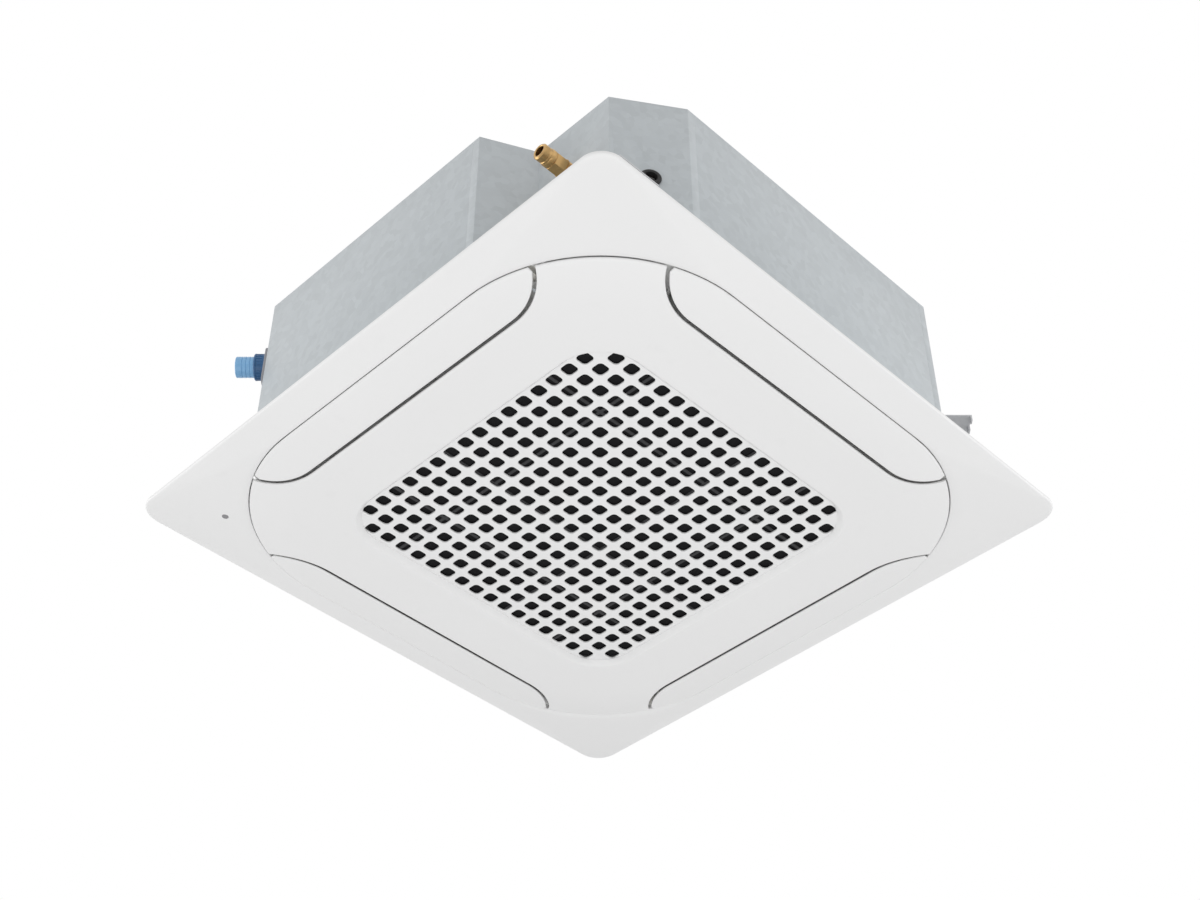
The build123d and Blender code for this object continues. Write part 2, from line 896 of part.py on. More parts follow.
for name, face, neck, bore, hexagon, nut, tail in (
    ("gas_union", gas_face, gas_neck, gas_bore, gas_hex, gas_nut, gas_tail),
    ("liquid_union", liquid_face, liquid_neck, liquid_bore, liquid_hex, liquid_nut, liquid_tail),
):
    nut_start = union_collar + union_neck
    tail_end = nut_start + nut_length + tail_length
    with BuildPart() as union_piece:
        for start, end, radius in (
            (-liner_thick, nut_start, neck),
            (nut_start, nut_start + nut_length, nut),
            (nut_start + nut_length, tail_end, tail),
        ):
            with BuildSketch(face.offset(start)):
                Circle(radius)
            extrude(amount=end - start)
        with BuildSketch(face):
            RegularPolygon(hexagon, 6)
        extrude(amount=union_collar)
        chamfer(union_piece.edges().filter_by(GeomType.CIRCLE).sort_by(Axis.X)[0], tail_chamfer)
        with BuildSketch(face.offset(-liner_thick)):
            Circle(bore)
        extrude(amount=liner_thick + tail_end, mode=Mode.SUBTRACT)
    save(union_piece, name)

with BuildPart() as grommet:
    for start, length, radius in (
        (0, grommet_lip, grommet_radius),
        (-sheet - grommet_lip, sheet + grommet_lip, grommet_neck),
    ):
        with BuildSketch(grommet_face.offset(start)):
            Circle(radius)
            Circle(grommet_bore, mode=Mode.SUBTRACT)
        extrude(amount=length)
save(grommet, "cable_grommet")

# ---------------------------------------------------------------- drain pump, float and outlet

with BuildPart() as drain_pump:
    cylinder_up(pump_x, pump_y, pump_radius, pump_base, pump_top)
    fillet(drain_pump.edges().filter_by(GeomType.CIRCLE).sort_by(Axis.Z)[-1], pump_round)
    cylinder_up(pump_x, pump_y, stem_radius, stem_bottom, pump_base)
    cylinder_up(pump_x, pump_y, pump_post, pump_top, body_top - sheet)
    room_top = stem_bottom + impeller_room
    cylinder_up(pump_x, pump_y, impeller_radius + impeller_play, stem_bottom, room_top, Mode.SUBTRACT)
    cylinder_up(pump_x, pump_y, pump_shaft_radius + running_gap, room_top,
                stem_bottom + pump_shaft_room, Mode.SUBTRACT)
save(drain_pump, "drain_pump")

with BuildPart() as pump_impeller:
    impeller_bottom = stem_bottom + impeller_lift
    impeller_top = impeller_bottom + impeller_height
    cylinder_up(pump_x, pump_y, pump_shaft_radius, impeller_bottom, impeller_bottom + pump_shaft_length)
    cylinder_up(pump_x, pump_y, impeller_hub, impeller_bottom, impeller_top)
    with BuildSketch(Plane.XY.offset(impeller_bottom)):
        with Locations((pump_x, pump_y)):
            Rectangle(2 * impeller_radius, impeller_blade)
            Rectangle(impeller_blade, 2 * impeller_radius)
    extrude(amount=impeller_height)
save(pump_impeller, "pump_impeller")

with BuildPart() as float_switch:
    cylinder_up(float_x, float_y, float_stem, trough_floor, pump_base)
    cylinder_up(float_x, float_y, float_foot, trough_floor, trough_floor + float_foot_height)
    cylinder_up(float_x, float_y, float_foot, float_stop_z, float_stop_z + float_stop_height)
    cylinder_up(float_x, float_y, float_head, pump_base, pump_base + float_head_height)
    reach = hypot(pump_x - float_x, pump_y - float_y) - pump_radius
    direction = Vector(pump_x - float_x, pump_y - float_y, 0).normalized()
    arm_place = (float_x, float_y, pump_base + float_head_height / 2)
    with BuildSketch(Plane(origin=arm_place, x_dir=(0, 0, 1), z_dir=direction)):
        Rectangle(float_arm, float_arm)
    extrude(amount=reach)
save(float_switch, "float_switch")

with BuildPart() as float_ring:
    float_top = float_rest_z + float_height
    cylinder_up(float_x, float_y, float_radius, float_rest_z, float_top)
    cylinder_up(float_x, float_y, float_stem + float_bore_play, float_rest_z, float_top, Mode.SUBTRACT)
save(float_ring, "float_ring")

with BuildPart() as drain_hose:
    spout_end = drain_face.from_local_coords((0, 0, -spout_inside))
    before_spout = drain_face.from_local_coords((0, 0, -spout_inside - hose_straight))
    leave = Vector(before_spout.X - pump_x, before_spout.Y - pump_y, 0).normalized()
    pump_side = Vector(pump_x, pump_y, pump_top - hose_drop) + leave * pump_radius
    with BuildLine() as hose_line:
        FilletPolyline(pump_side, pump_side + leave * hose_straight, before_spout, spout_end,
                       radius=hose_bend)
    with BuildSketch(Plane(origin=pump_side, z_dir=leave)):
        Circle(hose_radius)
    sweep(path=hose_line.wire())
save(drain_hose, "drain_hose")

with BuildPart() as drain_spout:
    nozzle_start = flange_thick + collar_length
    spout_tip = flange_thick + spout_length
    for start, end, radius in (
        (-spout_inside, nozzle_start, spout_root),
        (nozzle_start, spout_tip, spout_radius),
    ):
        with BuildSketch(drain_face.offset(start)):
            Circle(radius)
        extrude(amount=end - start)
    with BuildSketch(drain_face.offset(spout_tip)):
        Circle(spout_bore)
    extrude(amount=-(spout_inside + spout_tip - spout_floor), mode=Mode.SUBTRACT)
save(drain_spout, "drain_spout")

with BuildPart() as drain_collar:
    with BuildSketch(drain_face.offset(flange_thick)):
        Circle(collar_radius)
        Circle(spout_root, mode=Mode.SUBTRACT)
    extrude(amount=collar_length)
save(drain_collar, "drain_collar")

with BuildPart() as drain_flange:
    with BuildSketch(drain_face):
        with Locations((0, -flange_sink)):
            RectangleRounded(flange_width, flange_tall, flange_corner)
        Circle(spout_root, mode=Mode.SUBTRACT)
    extrude(amount=flange_thick)
save(drain_flange, "drain_flange")

# ---------------------------------------------------------------- fan and motor

nose_bottom = motor_bottom - motor_nose
shaft_top = shaft_bottom + shaft_length
with BuildPart() as motor_housing:
    with BuildSketch(Plane.XZ):
        with BuildLine():
            Polyline(
                (0, motor_top),
                (motor_radius - motor_crown, motor_top),
                (motor_radius, motor_top - motor_crown_drop),
                (motor_radius, motor_bottom + motor_foot),
                (motor_radius - motor_foot, motor_bottom),
                (bearing_radius + motor_nose_wall, motor_bottom),
                (bearing_radius + motor_nose_wall, nose_bottom),
                (bearing_radius, nose_bottom),
                (bearing_radius, nose_bottom + bearing_height),
                (shaft_radius + shaft_room, nose_bottom + bearing_height),
                (shaft_radius + shaft_room, shaft_top - bearing_height),
                (bearing_radius, shaft_top - bearing_height),
                (bearing_radius, shaft_top + shaft_end_room),
                (0, shaft_top + shaft_end_room),
                (0, motor_top),
            )
        make_face()
    revolve(axis=Axis.Z)
    with BuildSketch(Plane.XY.offset(motor_top - lug_thick)):
        with PolarLocations(lug_reach / 2, 3):
            Rectangle(lug_reach, 2 * lug_radius)
        with PolarLocations(lug_reach, 3):
            Circle(lug_radius)
    extrude(amount=lug_thick)
    with BuildSketch(Plane.XY.offset(motor_top - lug_thick)):
        with PolarLocations(lug_reach, 3):
            Circle(bush_neck)
    extrude(amount=lug_thick, mode=Mode.SUBTRACT)
save(motor_housing, "fan_motor_housing")

with BuildPart() as motor_bearings:
    for z in (nose_bottom, shaft_top - bearing_height):
        cylinder_up(0, 0, bearing_radius, z, z + bearing_height)
    cylinder_up(0, 0, shaft_radius + running_gap, nose_bottom, shaft_top, Mode.SUBTRACT)
save(motor_bearings, "fan_motor_bearings")

bush_bottom = motor_top - lug_thick - bush_flange
bush_top = motor_top + bush_flange
with BuildPart() as motor_bushes:
    for spot in PolarLocations(lug_reach, 3):
        x, y = spot.position.X, spot.position.Y
        cylinder_up(x, y, bush_radius, bush_bottom, motor_top - lug_thick)
        cylinder_up(x, y, bush_neck, motor_top - lug_thick, motor_top)
        cylinder_up(x, y, bush_radius, motor_top, bush_top)
        cylinder_up(x, y, stud_radius, bush_bottom, bush_top, Mode.SUBTRACT)
save(motor_bushes, "motor_rubber_bushes")

with BuildPart() as motor_studs:
    for spot in PolarLocations(lug_reach, 3):
        x, y = spot.position.X, spot.position.Y
        cylinder_up(x, y, stud_radius, bush_bottom - stud_end, body_top)
        cylinder_up(x, y, stud_shoulder, bush_top, body_top - sheet)
        hexagon_up(x, y, stud_shoulder, bush_bottom - stud_nut, bush_bottom)
save(motor_studs, "motor_studs")

with BuildPart() as motor_shaft:
    cylinder_up(0, 0, shaft_radius, shaft_bottom, shaft_top)
save(motor_shaft, "fan_shaft")

with BuildPart() as fan_nut:
    hexagon_up(0, 0, nut_radius, boss_bottom - nut_height, boss_bottom)
    cylinder_up(0, 0, shaft_radius, boss_bottom - nut_height, boss_bottom, Mode.SUBTRACT)
save(fan_nut, "fan_nut")

def shroud_point(where, side):
    """Point on the shroud's wall, below its middle line for side -1, above it for 1 and on it for 0."""
    step = side * shroud_half_wall
    return {
        "neck": (fan_eye + (1 - side) * fan_wall / 2, fan_bottom + shroud_neck + step),
        "middle": (shroud_middle - step, fan_bottom + shroud_middle_rise + step),
        "rim": (fan_radius, shroud_rim + step),
    }[where]


def hub_line(side):
    """Points along the hub's disc and cone, below the wall's middle for side -1 and above for 1."""
    step = side * hub_half_wall
    return [
        (hub_boss, boss_bottom + hub_disc + step),
        (hub_foot - step, boss_bottom + hub_foot_rise + step),
        (hub_waist - step, boss_bottom + hub_waist_rise + step),
        (hub_shoulder - step, boss_bottom + hub_shoulder_rise + step),
        (hub_rim - step, fan_top - fan_wall / 2 + side * fan_wall / 2),
        (fan_radius, fan_top - fan_wall / 2 + side * fan_wall / 2),
    ]


with BuildPart() as fan_wheel:
    turn = radians(blade_sweep)
    outer = fan_radius - blade_thick
    blade_end = (outer * cos(turn), -outer * sin(turn))
    blade_middle = ((blade_start + blade_end[0]) / 2 + blade_bow_out, blade_end[1] / 2 + blade_bow_back)
    with BuildSketch(Plane.XY.offset(fan_bottom + blade_root)):
        with BuildSketch(mode=Mode.PRIVATE) as blade:
            with BuildLine():
                ThreePointArc((blade_start, 0), blade_middle, blade_end)
                offset(amount=blade_thick / 2)
            make_face()
        with PolarLocations(0, blade_count):
            add(blade.sketch)
    extrude(amount=fan_top - fan_wall / 2 - fan_bottom - blade_root)
    below_neck = (shroud_point("neck", 0)[0], fan_bottom)
    beyond_rim = fan_radius + blade_thick
    with BuildSketch(Plane.XZ):
        with BuildLine():
            ThreePointArc(shroud_point("neck", 0), shroud_point("middle", 0), shroud_point("rim", 0))
            Polyline(
                shroud_point("rim", 0),
                (beyond_rim, shroud_rim),
                (beyond_rim, fan_bottom),
                below_neck,
                shroud_point("neck", 0),
            )
        make_face()
    revolve(axis=Axis.Z, mode=Mode.SUBTRACT)
    with BuildSketch(Plane.XZ):
        with BuildLine():
            Polyline(shroud_point("neck", 1), (fan_eye, fan_bottom), (fan_eye + fan_wall, fan_bottom),
                     shroud_point("neck", -1))
            ThreePointArc(shroud_point("neck", -1), shroud_point("middle", -1), shroud_point("rim", -1))
            Line(shroud_point("rim", -1), shroud_point("rim", 1))
            ThreePointArc(shroud_point("rim", 1), shroud_point("middle", 1), shroud_point("neck", 1))
        make_face()
    revolve(axis=Axis.Z)
    with BuildSketch(Plane.XZ):
        with BuildLine():
            Polyline(
                (shaft_radius, boss_bottom),
                (hub_boss, boss_bottom),
                *hub_line(-1),
                *reversed(hub_line(1)),
                (hub_boss, boss_bottom + hub_boss_height),
                (shaft_radius, boss_bottom + hub_boss_height),
                (shaft_radius, boss_bottom),
            )
        make_face()
    revolve(axis=Axis.Z)
save(fan_wheel, "fan_wheel")

# ---------------------------------------------------------------- control box

with BuildPart() as control_box:
    box_top = pan_bottom - bell_thick
    box_bottom = box_top - box_drop
    box_between((box_in, -box_half, box_bottom), (box_out, box_half, box_top))
    box_between((box_in + sheet, -box_half + sheet, box_bottom),
                (box_out - sheet, box_half - sheet, box_top - sheet), Mode.SUBTRACT)
save(control_box, "control_box")

with BuildPart() as control_box_lid:
    box_between((box_in, -box_half, box_bottom - sheet), (box_out, box_half, box_bottom))
save(control_box_lid, "control_box_lid")

with BuildPart() as circuit_board:
    board_z = box_top - board_drop
    box_between((box_in + board_inset, board_start, board_z),
                (box_out - board_inset, board_end, board_z + board_thick))
    for y in post_rows:
        for x in (box_in + post_inset, box_out - post_inset):
            cylinder_up(x, y, post_radius, board_z + board_thick, box_top - sheet)
    for y, size in board_parts:
        x = box_in + board_part_inset
        box_between((x, y, board_z - board_part_height), (x + size, y + size, board_z))
save(circuit_board, "circuit_board")

with BuildPart() as terminal_block:
    terminal_z = box_top - terminal_drop
    box_between((box_in + post_inset, terminal_start, terminal_z),
                (box_out - post_inset, terminal_end, box_top - sheet))
    with BuildSketch(Plane.XY.offset(terminal_z)):
        with Locations(((box_in + box_out) / 2, (terminal_start + terminal_end) / 2)):
            with GridLocations(terminal_spread, terminal_pitch, 2, terminal_rows):
                Rectangle(terminal_well_long, terminal_well_wide)
    extrude(amount=terminal_well_deep, mode=Mode.SUBTRACT)
save(terminal_block, "terminal_block")

# ---------------------------------------------------------------- panel

def front_skin():
    """Thin shell of the panel's front face, flat in the middle, rising to its edge and bevelled there."""
    lower = (face_half - face_slope_width, face_corner - face_slope_width)
    frustum((*lower, -face_drop), (face_half, face_corner, -contour_drop))
    frustum(
        (face_half, face_corner, -contour_drop),
        (face_half - edge_bevel, face_corner - edge_bevel, -contour_drop + skin),
    )
    frustum((*lower, -face_drop + skin), (face_half, face_corner, -contour_drop + skin), Mode.SUBTRACT)


def vane_places(spread, mode, start=0, count=4):
    """Plan of the vanes' places, long slot shapes whose outer part lies beyond the face."""
    with PolarLocations(vane_centre, count, start_angle=start):
        SlotCenterToCenter(2 * vane_straight, 2 * (vane_arc + spread), rotation=90, mode=mode)


with BuildPart() as panel_frame:
    frustum((contour_half, contour_corner, -contour_drop), (panel_half, panel_corner, -rim_height))
    prism(panel_half, panel_corner, -rim_height, 0)
    frustum(
        (contour_half + skin, contour_corner + skin, -contour_drop + skin),
        (outer_half, panel_corner - rim_land, -rim_height + skin),
        Mode.SUBTRACT,
    )
    prism(outer_half, panel_corner - rim_land, -rim_height + skin, 0, Mode.SUBTRACT)
    prism(contour_half + skin, contour_corner + skin, -contour_drop + frame_wall_lap, back_plate_bottom)
    prism(contour_half, contour_corner, -contour_drop, 0, Mode.SUBTRACT)
    cylinder_up(window_x, window_y, window_radius, -contour_drop, -rim_height, Mode.SUBTRACT)
    for half, along, drop in (
        (knuckle_half, hinge_pin_half, knuckle_drop),
        (hinge_eye, hinge_arm_thick / 2, hinge_eye),
    ):
        with BuildSketch(Plane.XY.offset(hinge_z - drop - knuckle_room)):
            with Locations((-hinge_out, -hinge_along), (-hinge_out, hinge_along)):
                Rectangle(2 * (half + knuckle_room), 2 * (along + knuckle_room))
        extrude(amount=back_plate_bottom - hinge_z + drop + knuckle_room, mode=Mode.SUBTRACT)
save(panel_frame, "panel_frame")

with BuildPart() as receiver_window:
    cylinder_up(window_x, window_y, window_radius, window_face_z, back_plate_bottom)
save(receiver_window, "receiver_window")

catch_spots = [(catch_out, -catch_along), (catch_out, catch_along)]
with BuildPart() as back_plate:
    with BuildSketch(Plane.XY.offset(back_plate_bottom)):
        plate_half = contour_half + skin
        RectangleRounded(2 * plate_half, 2 * plate_half, contour_corner + skin)
        RectangleRounded(2 * suction_half, 2 * suction_half, suction_corner, mode=Mode.SUBTRACT)
        with PolarLocations((outlet_in + outlet_out) / 2, 4):
            RectangleRounded(outlet_out - outlet_in, 2 * outlet_half, outlet_corner, mode=Mode.SUBTRACT)
        with PolarLocations((vane_relief_in + vane_relief_out) / 2, 4):
            RectangleRounded(
                vane_relief_out - vane_relief_in,
                2 * vane_relief_half,
                vane_relief_corner,
                mode=Mode.SUBTRACT,
            )
        with GridLocations(0, 2 * hinge_along, 1, 2):
            with Locations((-(hinge_tab_inner + hinge_tab_outer) / 2, 0)):
                Rectangle(hinge_tab_outer - hinge_tab_inner, 2 * hinge_tab_half)
        for angle in SIDES.values():
            with Locations(Location((0, 0, 0), (0, 0, angle))):
                with Locations((pivot_out, (motor_window_start + motor_window_end) / 2)):
                    Rectangle(
                        2 * (vane_motor_radius + motor_window_play),
                        motor_window_end - motor_window_start,
                        mode=Mode.SUBTRACT,
                    )
    extrude(amount=back_plate_thick)
    for angle in SIDES.values():
        with BuildSketch(side_section(angle, -bearing_start)):
            block_drop = back_plate_bottom - pivot_z + bearing_block
            with Locations((pivot_out, back_plate_bottom - block_drop / 2)):
                Rectangle(2 * bearing_block, block_drop)
            with Locations((pivot_out, pivot_z)):
                Circle(pin_radius + running_gap, mode=Mode.SUBTRACT)
        extrude(amount=bearing_length)
        with BuildSketch(side_section(angle, vane_motor_face + ear_thick)):
            with Locations((pivot_out, back_plate_bottom + motor_plate_height / 2)):
                Rectangle(motor_plate_width, motor_plate_height)
            with Locations((pivot_out, pivot_z + motor_drop)):
                Circle(vane_motor_radius + motor_plate_play, mode=Mode.SUBTRACT)
        extrude(amount=-skin)
    with BuildSketch(Plane.XY.offset(back_plate_bottom)):
        with GridLocations(2 * panel_bolt, 2 * panel_bolt, 2, 2):
            Circle(stand_off_radius)
    extrude(amount=corner_plate_z - back_plate_bottom)
    for x, y in catch_spots:
        half = catch_house / 2
        house_z = back_plate_bottom - catch_house_drop
        box_between((x - half, y - half, house_z), (x + half, y + half, back_plate_bottom))
        cylinder_up(x, y, plunger_radius + running_gap, house_z, back_plate_top, Mode.SUBTRACT)
    knuckle_places = [
        (-hinge_out, end * hinge_along + side * knuckle_at) for end in (-1, 1) for side in (-1, 1)
    ]
    with BuildSketch(Plane.XY.offset(hinge_z - knuckle_drop)):
        with Locations(*knuckle_places):
            Rectangle(2 * knuckle_half, knuckle_thick)
    extrude(amount=back_plate_top - hinge_z + knuckle_drop)
    for end in (-1, 1):
        pin_start = (-hinge_out, end * hinge_along - hinge_pin_half, hinge_z)
        with BuildSketch(Plane(origin=pin_start, z_dir=(0, 1, 0))):
            Circle(hinge_pin_radius)
        extrude(amount=2 * hinge_pin_half, mode=Mode.SUBTRACT)
    window_inner = hinge_out - hook_outer - hinge_side_gap
    window_outer = hinge_out + knuckle_window
    with BuildSketch(Plane.XY.offset(back_plate_bottom)):
        with GridLocations(0, 2 * hinge_along, 1, 2):
            with Locations((-(window_inner + window_outer) / 2, 0)):
                Rectangle(window_outer - window_inner, hinge_arm_thick + 2 * hinge_side_gap)
    extrude(amount=back_plate_thick, mode=Mode.SUBTRACT)
    with BuildSketch(Plane.XY.offset(back_plate_bottom)):
        with GridLocations(2 * panel_bolt, 2 * panel_bolt, 2, 2):
            Circle(bolt_radius)
    extrude(amount=corner_plate_z - back_plate_bottom, mode=Mode.SUBTRACT)
save(back_plate, "panel_back_plate")

with BuildPart() as hinge_pins:
    for end in (-1, 1):
        start = (-hinge_out, end * hinge_along - hinge_pin_half, hinge_z)
        with BuildSketch(Plane(origin=start, z_dir=(0, 1, 0))):
            Circle(hinge_pin_radius)
        extrude(amount=2 * hinge_pin_half)
save(hinge_pins, "grille_hinge_pins")

with BuildPart() as panel_bolts:
    for x in (-panel_bolt, panel_bolt):
        for y in (-panel_bolt, panel_bolt):
            hexagon_up(x, y, bolt_head_radius, back_plate_bottom - bolt_head, back_plate_bottom)
            cylinder_up(x, y, bolt_radius, back_plate_bottom, bolt_top)
save(panel_bolts, "panel_bolts")

with BuildPart() as outlet_ducts:
    for side, angle in SIDES.items():
        middle, length = slot_span(side, pan_slot_half)
        for wall, mode in ((collar_wall, Mode.ADD), (0, Mode.SUBTRACT)):
            with BuildSketch(side_level(angle, back_plate_top)):
                with Locations(((outlet_in + outlet_out) / 2, 0)):
                    RectangleRounded(outlet_out - outlet_in + 2 * wall, 2 * (outlet_half + wall),
                                     outlet_corner + wall)
            with BuildSketch(side_level(angle, collar_top)):
                with Locations(((pan_slot_in + pan_slot_out) / 2, middle)):
                    RectangleRounded(pan_slot_out - pan_slot_in + 2 * wall, length + 2 * wall,
                                     pan_slot_corner + wall)
            loft(ruled=True, mode=mode)
save(outlet_ducts, "outlet_ducts")

with BuildPart() as suction_collar:
    prism(suction_half + collar_wall, suction_corner + collar_wall, back_plate_top, collar_top)
    prism(suction_half, suction_corner, back_plate_top, collar_top, Mode.SUBTRACT)
save(suction_collar, "suction_collar")

with BuildPart() as duct_gaskets:
    prism(suction_half + collar_wall, suction_corner + collar_wall, collar_top, pan_bottom)
    inner = suction_half + collar_wall - gasket_width
    prism(inner, suction_corner - gasket_width + collar_wall, collar_top, pan_bottom, Mode.SUBTRACT)
    for side, angle in SIDES.items():
        middle, length = slot_span(side, pan_slot_half)
        with BuildSketch(side_level(angle, collar_top)):
            with Locations(((pan_slot_in + pan_slot_out) / 2, middle)):
                RectangleRounded(pan_slot_out - pan_slot_in + 2 * collar_wall, length + 2 * collar_wall,
                                 pan_slot_corner + collar_wall)
                RectangleRounded(pan_slot_out - pan_slot_in, length, pan_slot_corner, mode=Mode.SUBTRACT)
        extrude(amount=pan_bottom - collar_top)
save(duct_gaskets, "duct_gaskets")

# ---------------------------------------------------------------- vanes and their motors

for side, angle in SIDES.items():
    with BuildPart() as vane:
        front_skin()
        with BuildSketch(Plane.XY.offset(-face_drop)):
            vane_places(-vane_gap / 2, Mode.ADD, angle, 1)
            with PolarLocations(vane_centre, 1, start_angle=angle):
                Rectangle(2 * vane_arc, 2 * vane_half_length, mode=Mode.INTERSECT)
        extrude(amount=face_drop, mode=Mode.INTERSECT)
        for end in (-1, 1):
            with BuildSketch(side_section(angle, end * arm_along)):
                with Locations((pivot_out, pivot_z)):
                    Circle(arm_head)
                Polygon(
                    (pivot_out - arm_foot_in, face_height(pivot_out - arm_foot_in, arm_along) + arm_sink),
                    (pivot_out + arm_foot_out, face_height(pivot_out + arm_foot_out, arm_along) + arm_sink),
                    (pivot_out + arm_neck, pivot_z),
                    (pivot_out - arm_neck, pivot_z),
                    align=None,
                )
            extrude(amount=arm_thick / 2, both=True)
            with BuildSketch(side_section(angle, end * arm_along)):
                with Locations((pivot_out, pivot_z)):
                    Circle(pin_radius)
            extrude(amount=-end * (pin_tip - arm_along))
    save(vane, f"vane_{side}")

with BuildPart() as vane_motors:
    for angle in SIDES.values():
        with BuildSketch(side_section(angle, vane_motor_face)):
            with Locations((pivot_out, pivot_z + motor_drop)):
                Circle(vane_motor_radius)
        extrude(amount=-vane_motor_length)
        with BuildSketch(side_section(angle, vane_motor_face)):
            with Locations((pivot_out, back_plate_top + ear_height / 2)):
                SlotOverall(ear_span, ear_height)
        extrude(amount=-ear_thick)
        with BuildSketch(side_section(angle, motor_boss_start)):
            with Locations((pivot_out, pivot_z)):
                Circle(motor_boss_radius)
        extrude(amount=motor_boss_start - vane_motor_face)
        with BuildSketch(side_section(angle, motor_boss_start)):
            with Locations((pivot_out, pivot_z)):
                Circle(pin_radius + running_gap)
        extrude(amount=motor_boss_start - pin_tip - 1, mode=Mode.SUBTRACT)
save(vane_motors, "vane_motors")

# ---------------------------------------------------------------- grille

hook_sector = [
    (2 * hook_outer * cos(radians(turn)), 2 * hook_outer * sin(radians(turn)))
    for turn in (hinge_hook_foot, (hinge_hook_foot + hinge_hook_top) / 2, hinge_hook_top)
]
with BuildPart() as grille_panel:
    front_skin()
    with BuildSketch(Plane.XY.offset(-face_drop)):
        vane_places(vane_gap / 2, Mode.ADD)
    extrude(amount=face_drop, mode=Mode.SUBTRACT)
    prism(rib_half, dish_corner + rib_half - dish_half, -face_drop + skin / 2, rib_top)
    prism(rib_half - skin, dish_corner + rib_half - dish_half - skin, -face_drop + skin, rib_top,
          Mode.SUBTRACT)
    prism(dish_half + skin, dish_corner + skin, -face_drop + skin / 2, rib_top)
    frustum(
        (dish_half, dish_corner, -face_drop),
        (dish_half - dish_step, dish_corner - dish_step, -face_drop + dish_step),
        Mode.SUBTRACT,
    )
    prism(dish_half - dish_step, dish_corner - dish_step, -face_drop + dish_step, lattice_face_z,
          Mode.SUBTRACT)
    prism(lattice_half, lattice_corner, lattice_face_z, rib_top, Mode.SUBTRACT)
    for x, y in catch_spots:
        cylinder_up(x, y, striker_radius, -face_drop + skin / 2, plunger_tip_z - running_gap)
    for end in (-1, 1):
        hinge_end = (-hinge_out, end * hinge_along, hinge_z)
        with BuildSketch(Plane(origin=hinge_end, x_dir=(1, 0, 0), z_dir=(0, -1, 0))):
            Circle(hook_outer)
            Circle(hinge_hook_radius, mode=Mode.SUBTRACT)
            Polygon((0, 0), *hook_sector, align=None, mode=Mode.INTERSECT)
            with Locations(Location((0, 0, 0), (0, 0, hinge_hook_top))):
                with Locations((hook_outer / 2, 0)):
                    Rectangle(hook_outer - 1, hinge_hook_thick)
            Circle(hinge_eye)
            Circle(hinge_pin_radius + running_gap, mode=Mode.SUBTRACT)
        extrude(amount=hinge_arm_thick / 2, both=True)
save(grille_panel, "grille_panel")

lattice_holes = [
    spot
    for i, spot in enumerate(GridLocations(hole_pitch, hole_pitch, hole_count, hole_count))
    if not set(divmod(i, hole_count)) <= {0, hole_count - 1}
]
with BuildPart() as lattice:
    with BuildSketch(Plane.XY.offset(lattice_face_z)):
        RectangleRounded(2 * lattice_half, 2 * lattice_half, lattice_corner)
        with Locations(*lattice_holes):
            RectangleRounded(hole_size, hole_size, hole_corner, mode=Mode.SUBTRACT)
    extrude(amount=lattice_thick)
save(lattice, "grille_lattice")

filter_half = lattice_half - filter_gap
filter_corner = lattice_corner - filter_gap
with BuildPart() as filter_frame:
    window = (2 * filter_half - filter_bar) / filter_windows - filter_bar
    with BuildSketch(Plane.XY.offset(lattice_back_z)):
        RectangleRounded(2 * filter_half, 2 * filter_half, filter_corner)
        with BuildSketch(mode=Mode.PRIVATE) as grid:
            with GridLocations(window + filter_bar, window + filter_bar, filter_windows, filter_windows):
                Rectangle(window, window)
            RectangleRounded(2 * (filter_half - filter_bar), 2 * (filter_half - filter_bar),
                             filter_corner - filter_bar, mode=Mode.INTERSECT)
        add(grid.sketch, mode=Mode.SUBTRACT)
    extrude(amount=filter_thick)
    net_z = lattice_back_z + (filter_thick - net_thick) / 2
    prism(filter_half - filter_bar / 2, filter_corner - filter_bar / 2, net_z, net_z + net_thick,
          Mode.SUBTRACT)
save(filter_frame, "filter_frame")

with BuildPart() as filter_net:
    prism(filter_half - filter_bar / 2, filter_corner - filter_bar / 2, net_z, net_z + net_thick)
save(filter_net, "filter_net")

for number, (x, y) in enumerate(catch_spots, start=1):
    with BuildPart() as plunger:
        cylinder_up(x, y, plunger_radius, plunger_tip_z, plunger_tip_z + plunger_length)
    save(plunger, f"catch_plunger_{number}")
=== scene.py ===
import json
import math

import bmesh
import bpy
from mathutils import Matrix, Vector


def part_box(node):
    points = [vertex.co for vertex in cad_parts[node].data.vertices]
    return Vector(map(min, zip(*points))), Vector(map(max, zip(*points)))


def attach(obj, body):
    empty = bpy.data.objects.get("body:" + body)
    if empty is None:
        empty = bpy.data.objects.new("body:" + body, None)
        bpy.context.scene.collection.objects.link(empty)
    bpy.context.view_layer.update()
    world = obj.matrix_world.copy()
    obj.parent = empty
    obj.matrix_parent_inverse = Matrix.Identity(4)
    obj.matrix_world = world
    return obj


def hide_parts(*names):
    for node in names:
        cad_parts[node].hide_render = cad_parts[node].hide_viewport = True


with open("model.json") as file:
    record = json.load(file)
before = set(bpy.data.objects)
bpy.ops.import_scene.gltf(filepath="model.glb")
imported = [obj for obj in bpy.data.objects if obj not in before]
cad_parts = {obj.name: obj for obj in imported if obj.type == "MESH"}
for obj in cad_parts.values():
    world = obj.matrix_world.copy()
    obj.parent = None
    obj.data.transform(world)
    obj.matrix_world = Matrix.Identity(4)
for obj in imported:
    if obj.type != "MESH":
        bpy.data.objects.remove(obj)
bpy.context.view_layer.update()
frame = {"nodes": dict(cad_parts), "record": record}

# Looks of a ceiling cassette air conditioner. Metres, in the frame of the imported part: z = 0 is the
# ceiling face, and the panel hangs below it.

MM = 0.001

# ---------------------------------------------------------------- driving dimensions

